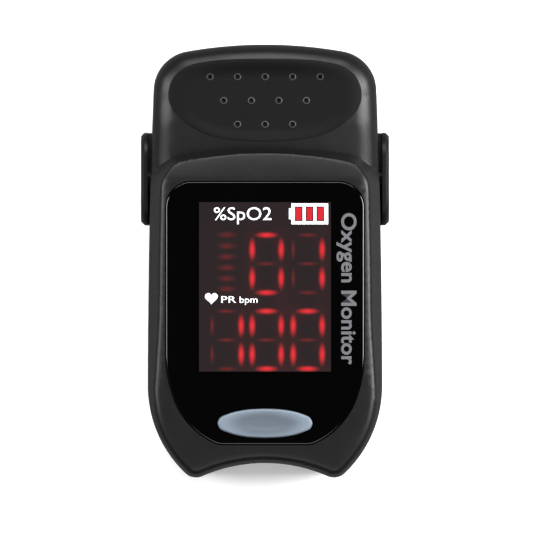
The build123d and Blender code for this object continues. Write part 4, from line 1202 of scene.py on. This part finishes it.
NICKEL = brushed_metal("nickel_plate", (0.55, 0.53, 0.48), (0.72, 0.7, 0.65), 0.28, (1, 1, 6))
CELL_SLEEVE = battery_jacket()
FLEX_AMBER = silicone("flex_amber", (0.32, 0.13, 0.02), (0.45, 0.2, 0.035), 0.35)
WIRE_JACKET = silicone("wire_jacket", (0.25, 0.012, 0.01), (0.34, 0.02, 0.015), 0.45)
SENSOR_CLEAR = moulded("sensor_resin", (0.12, 0.12, 0.14), (0.2, 0.2, 0.23), 0.2, 0.2, 0.002)
# ink on top of the lens, given a painted glow that keeps it bright whatever the light
WHITE_PRINT_PAINTED_GLOW = glowing_print("white_print_painted_glow", (0.8, 0.81, 0.85), 0.55)
GREY_PRINT_PAINTED_GLOW = glowing_print("grey_print_painted_glow", (0.085, 0.085, 0.092), 0.7)
RED_LAMP = glowing_print("red_lamp", (0.26, 0.004, 0.008), 0.85, 0.9)

NODE_MATERIALS = {
    "bottom_case": CASE_BLACK,
    "battery_door": DOOR_BLACK,
    "upper_inner_cover": INNER_PLASTIC,
    "lower_inner_cover": INNER_PLASTIC,
    "contact_holders": INNER_PLASTIC,
    "main_board": BOARD_GREEN,
    "emitter_board": BOARD_GREEN,
    "microcontroller": CHIP_BLACK,
    "analog_front_end": CHIP_BLACK,
    "boost_inductor": CHIP_BLACK,
    "switch_housing": CHIP_BLACK,
    "crystal": SWITCH_METAL,
    "switch_plunger": SWITCH_METAL,
    "capacitors": CERAMIC,
    "upper_screws": SPRING_STEEL,
    "lower_screws": SPRING_STEEL,
    "hinge_pins": PIN_BLACK,
    "contact_springs": NICKEL,
    "contact_plates": NICKEL,
    "battery_left": CELL_SLEEVE,
    "battery_right": CELL_SLEEVE,
    "sensor_strip": FLEX_AMBER,
    "battery_leads": WIRE_JACKET,
    "led_emitter": SENSOR_CLEAR,
    "photodiode": SENSOR_CLEAR,
}


# ---- stage, camera and lights ----
FLOOR_HALF = 1.6  # metres
FLOOR_DIMMING = 0.8  # how much darker the floor looks in the object's sheen, as if flagged off
FLOOR_LIFT = 0.3  # extra light on the paper itself, which keeps the far shadows faint


def pale_floor():
    """A plain white sweep under the object, with a faint paper grain."""
    mesh = bpy.data.meshes.new("floor")
    points = [corner.to_3d() for corner in oblong(-FLOOR_HALF, -FLOOR_HALF, FLOOR_HALF, FLOOR_HALF)]
    mesh.from_pydata(points, [], [(0, 1, 2, 3)])
    floor = bpy.data.objects.new("floor", mesh)
    bpy.context.scene.collection.objects.link(floor)
    shade = Shade("floor_paper", Specular_IOR_Level=0.0, Roughness=0.9)
    paper = shade.blend_colours(shade.noise(30.0, 3.0), (0.86, 0.86, 0.865), (0.88, 0.88, 0.885))
    path = shade.node("ShaderNodeLightPath")
    share = shade.math("MULTIPLY", path.outputs["Is Glossy Ray"], FLOOR_DIMMING)
    lift = shade.math("MULTIPLY", path.outputs["Is Camera Ray"], FLOOR_LIFT)
    shade.shader.inputs["Emission Color"].default_value = (1.0, 1.0, 1.0, 1.0)
    shade.tree.links.new(lift, shade.shader.inputs["Emission Strength"])
    shade.colour(shade.blend_colours(share, paper, (0.0, 0.0, 0.0)))
    shade.bump(shade.noise(0.4, 3.0), 0.01, 0.3)
    mesh.materials.append(shade.material)


def world_light(brightness):
    """A plain pale surround: full where the camera sees it, faint as a light."""
    world = bpy.data.worlds.new("surround")
    bpy.context.scene.world = world
    world.use_nodes = True
    background = world.node_tree.nodes["Background"]
    background.inputs["Color"].default_value = (1.0, 1.0, 1.0, 1.0)
    path = world.node_tree.nodes.new("ShaderNodeLightPath")
    spread = world.node_tree.nodes.new("ShaderNodeMapRange")
    spread.inputs["To Min"].default_value = brightness
    spread.inputs["To Max"].default_value = 0.93
    world.node_tree.links.new(path.outputs["Is Camera Ray"], spread.inputs["Value"])
    world.node_tree.links.new(spread.outputs[0], background.inputs["Strength"])


def soft_box(name, azimuth, elevation, distance_m, size, power, aim=(0.0, 0.0, 0.015)):
    """A rectangular soft light; azimuth 0 is towards +X and 90 towards +Y, in degrees."""
    light = bpy.data.lights.new(name, "AREA")
    light.shape = "RECTANGLE"
    light.size, light.size_y = size
    light.energy = power
    lamp = bpy.data.objects.new(name, light)
    bpy.context.scene.collection.objects.link(lamp)
    a, e = radians(azimuth), radians(elevation)
    way = Vector((cos(a) * cos(e), sin(a) * cos(e), sin(e)))
    lamp.location = Vector(aim) + way * distance_m
    lamp.rotation_euler = way.to_track_quat("Z", "Y").to_euler()
    return lamp


CAMERA_LENS = 900.0
CAMERA_SENSOR = 36.0
VIEW_WIDTH = 71.7 * MM
VIEW_CENTRE = (0.0002, -0.00096)


def overhead_camera():
    """Straight down on the display, with the finger end towards the bottom of the picture."""
    camera = bpy.data.objects.new("camera", bpy.data.cameras.new("camera"))
    bpy.context.scene.collection.objects.link(camera)
    camera.data.lens = CAMERA_LENS
    camera.data.sensor_width = CAMERA_SENSOR
    camera.data.clip_start = 0.01
    height = DISPLAY_Z * MM + VIEW_WIDTH * CAMERA_LENS / CAMERA_SENSOR
    camera.location = (*VIEW_CENTRE, height)
    bpy.context.scene.camera = camera


def build():
    """Every piece of the oximeter, and the materials of the nodes that keep their CAD meshes."""
    top_cover(SHELL_BLACK)
    thumb_grip([GRIP_RUBBER, NUB_RUBBER_PAINTED_HIGHLIGHT])
    display_lens(LENS_BLACK)
    display_face(DISPLAY_RED)
    power_button(BUTTON_BLUE)
    finger_pad("upper_pad", "upper_finger_pad", "upper_half", 1, PAD_SILICONE)
    finger_pad("lower_pad", "lower_finger_pad", "lower_half", -1, PAD_SILICONE)
    clamp_spring("clamp_spring_left", -1, SPRING_STEEL, ["clamp_springs"])
    clamp_spring("clamp_spring_right", 1, SPRING_STEEL)
    hinge_ribbon(FLEX_AMBER)
    for name, words, height, place, width in UNIT_LABELS:
        lettering(name, words, height, place, width, WHITE_PRINT_PAINTED_GLOW)
    lettering(*PURPOSE_LABEL, GREY_PRINT_PAINTED_GLOW, turn=-90.0, weight=0.022)
    plate("heart_icon", [heart_outline(HEART_CENTRE, HEART_WIDTH)], WHITE_PRINT_PAINTED_GLOW)
    battery_icon(WHITE_PRINT_PAINTED_GLOW)
    for i in range(BATTERY_CELLS):
        plate(f"battery_lamp_{i + 1}", [battery_window(i, LAMP_MARGIN)], RED_LAMP)
    for name, material in NODE_MATERIALS.items():
        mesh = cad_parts[name].data
        mesh.materials.clear()
        mesh.materials.append(material)


overhead_camera()
world_light(0.02)
soft_box("key_rear", 90, 44, 0.6, (0.6, 0.3), 3.5)
soft_box("side_right", 10, 37, 0.6, (0.22, 0.5), 6.6)
soft_box("side_left", 170, 37, 0.6, (0.22, 0.5), 3.2)
soft_box("front_fill", 270, 58, 0.7, (0.5, 0.3), 1.0)
pale_floor()
build()

bpy.context.scene.view_settings.view_transform = "Standard"
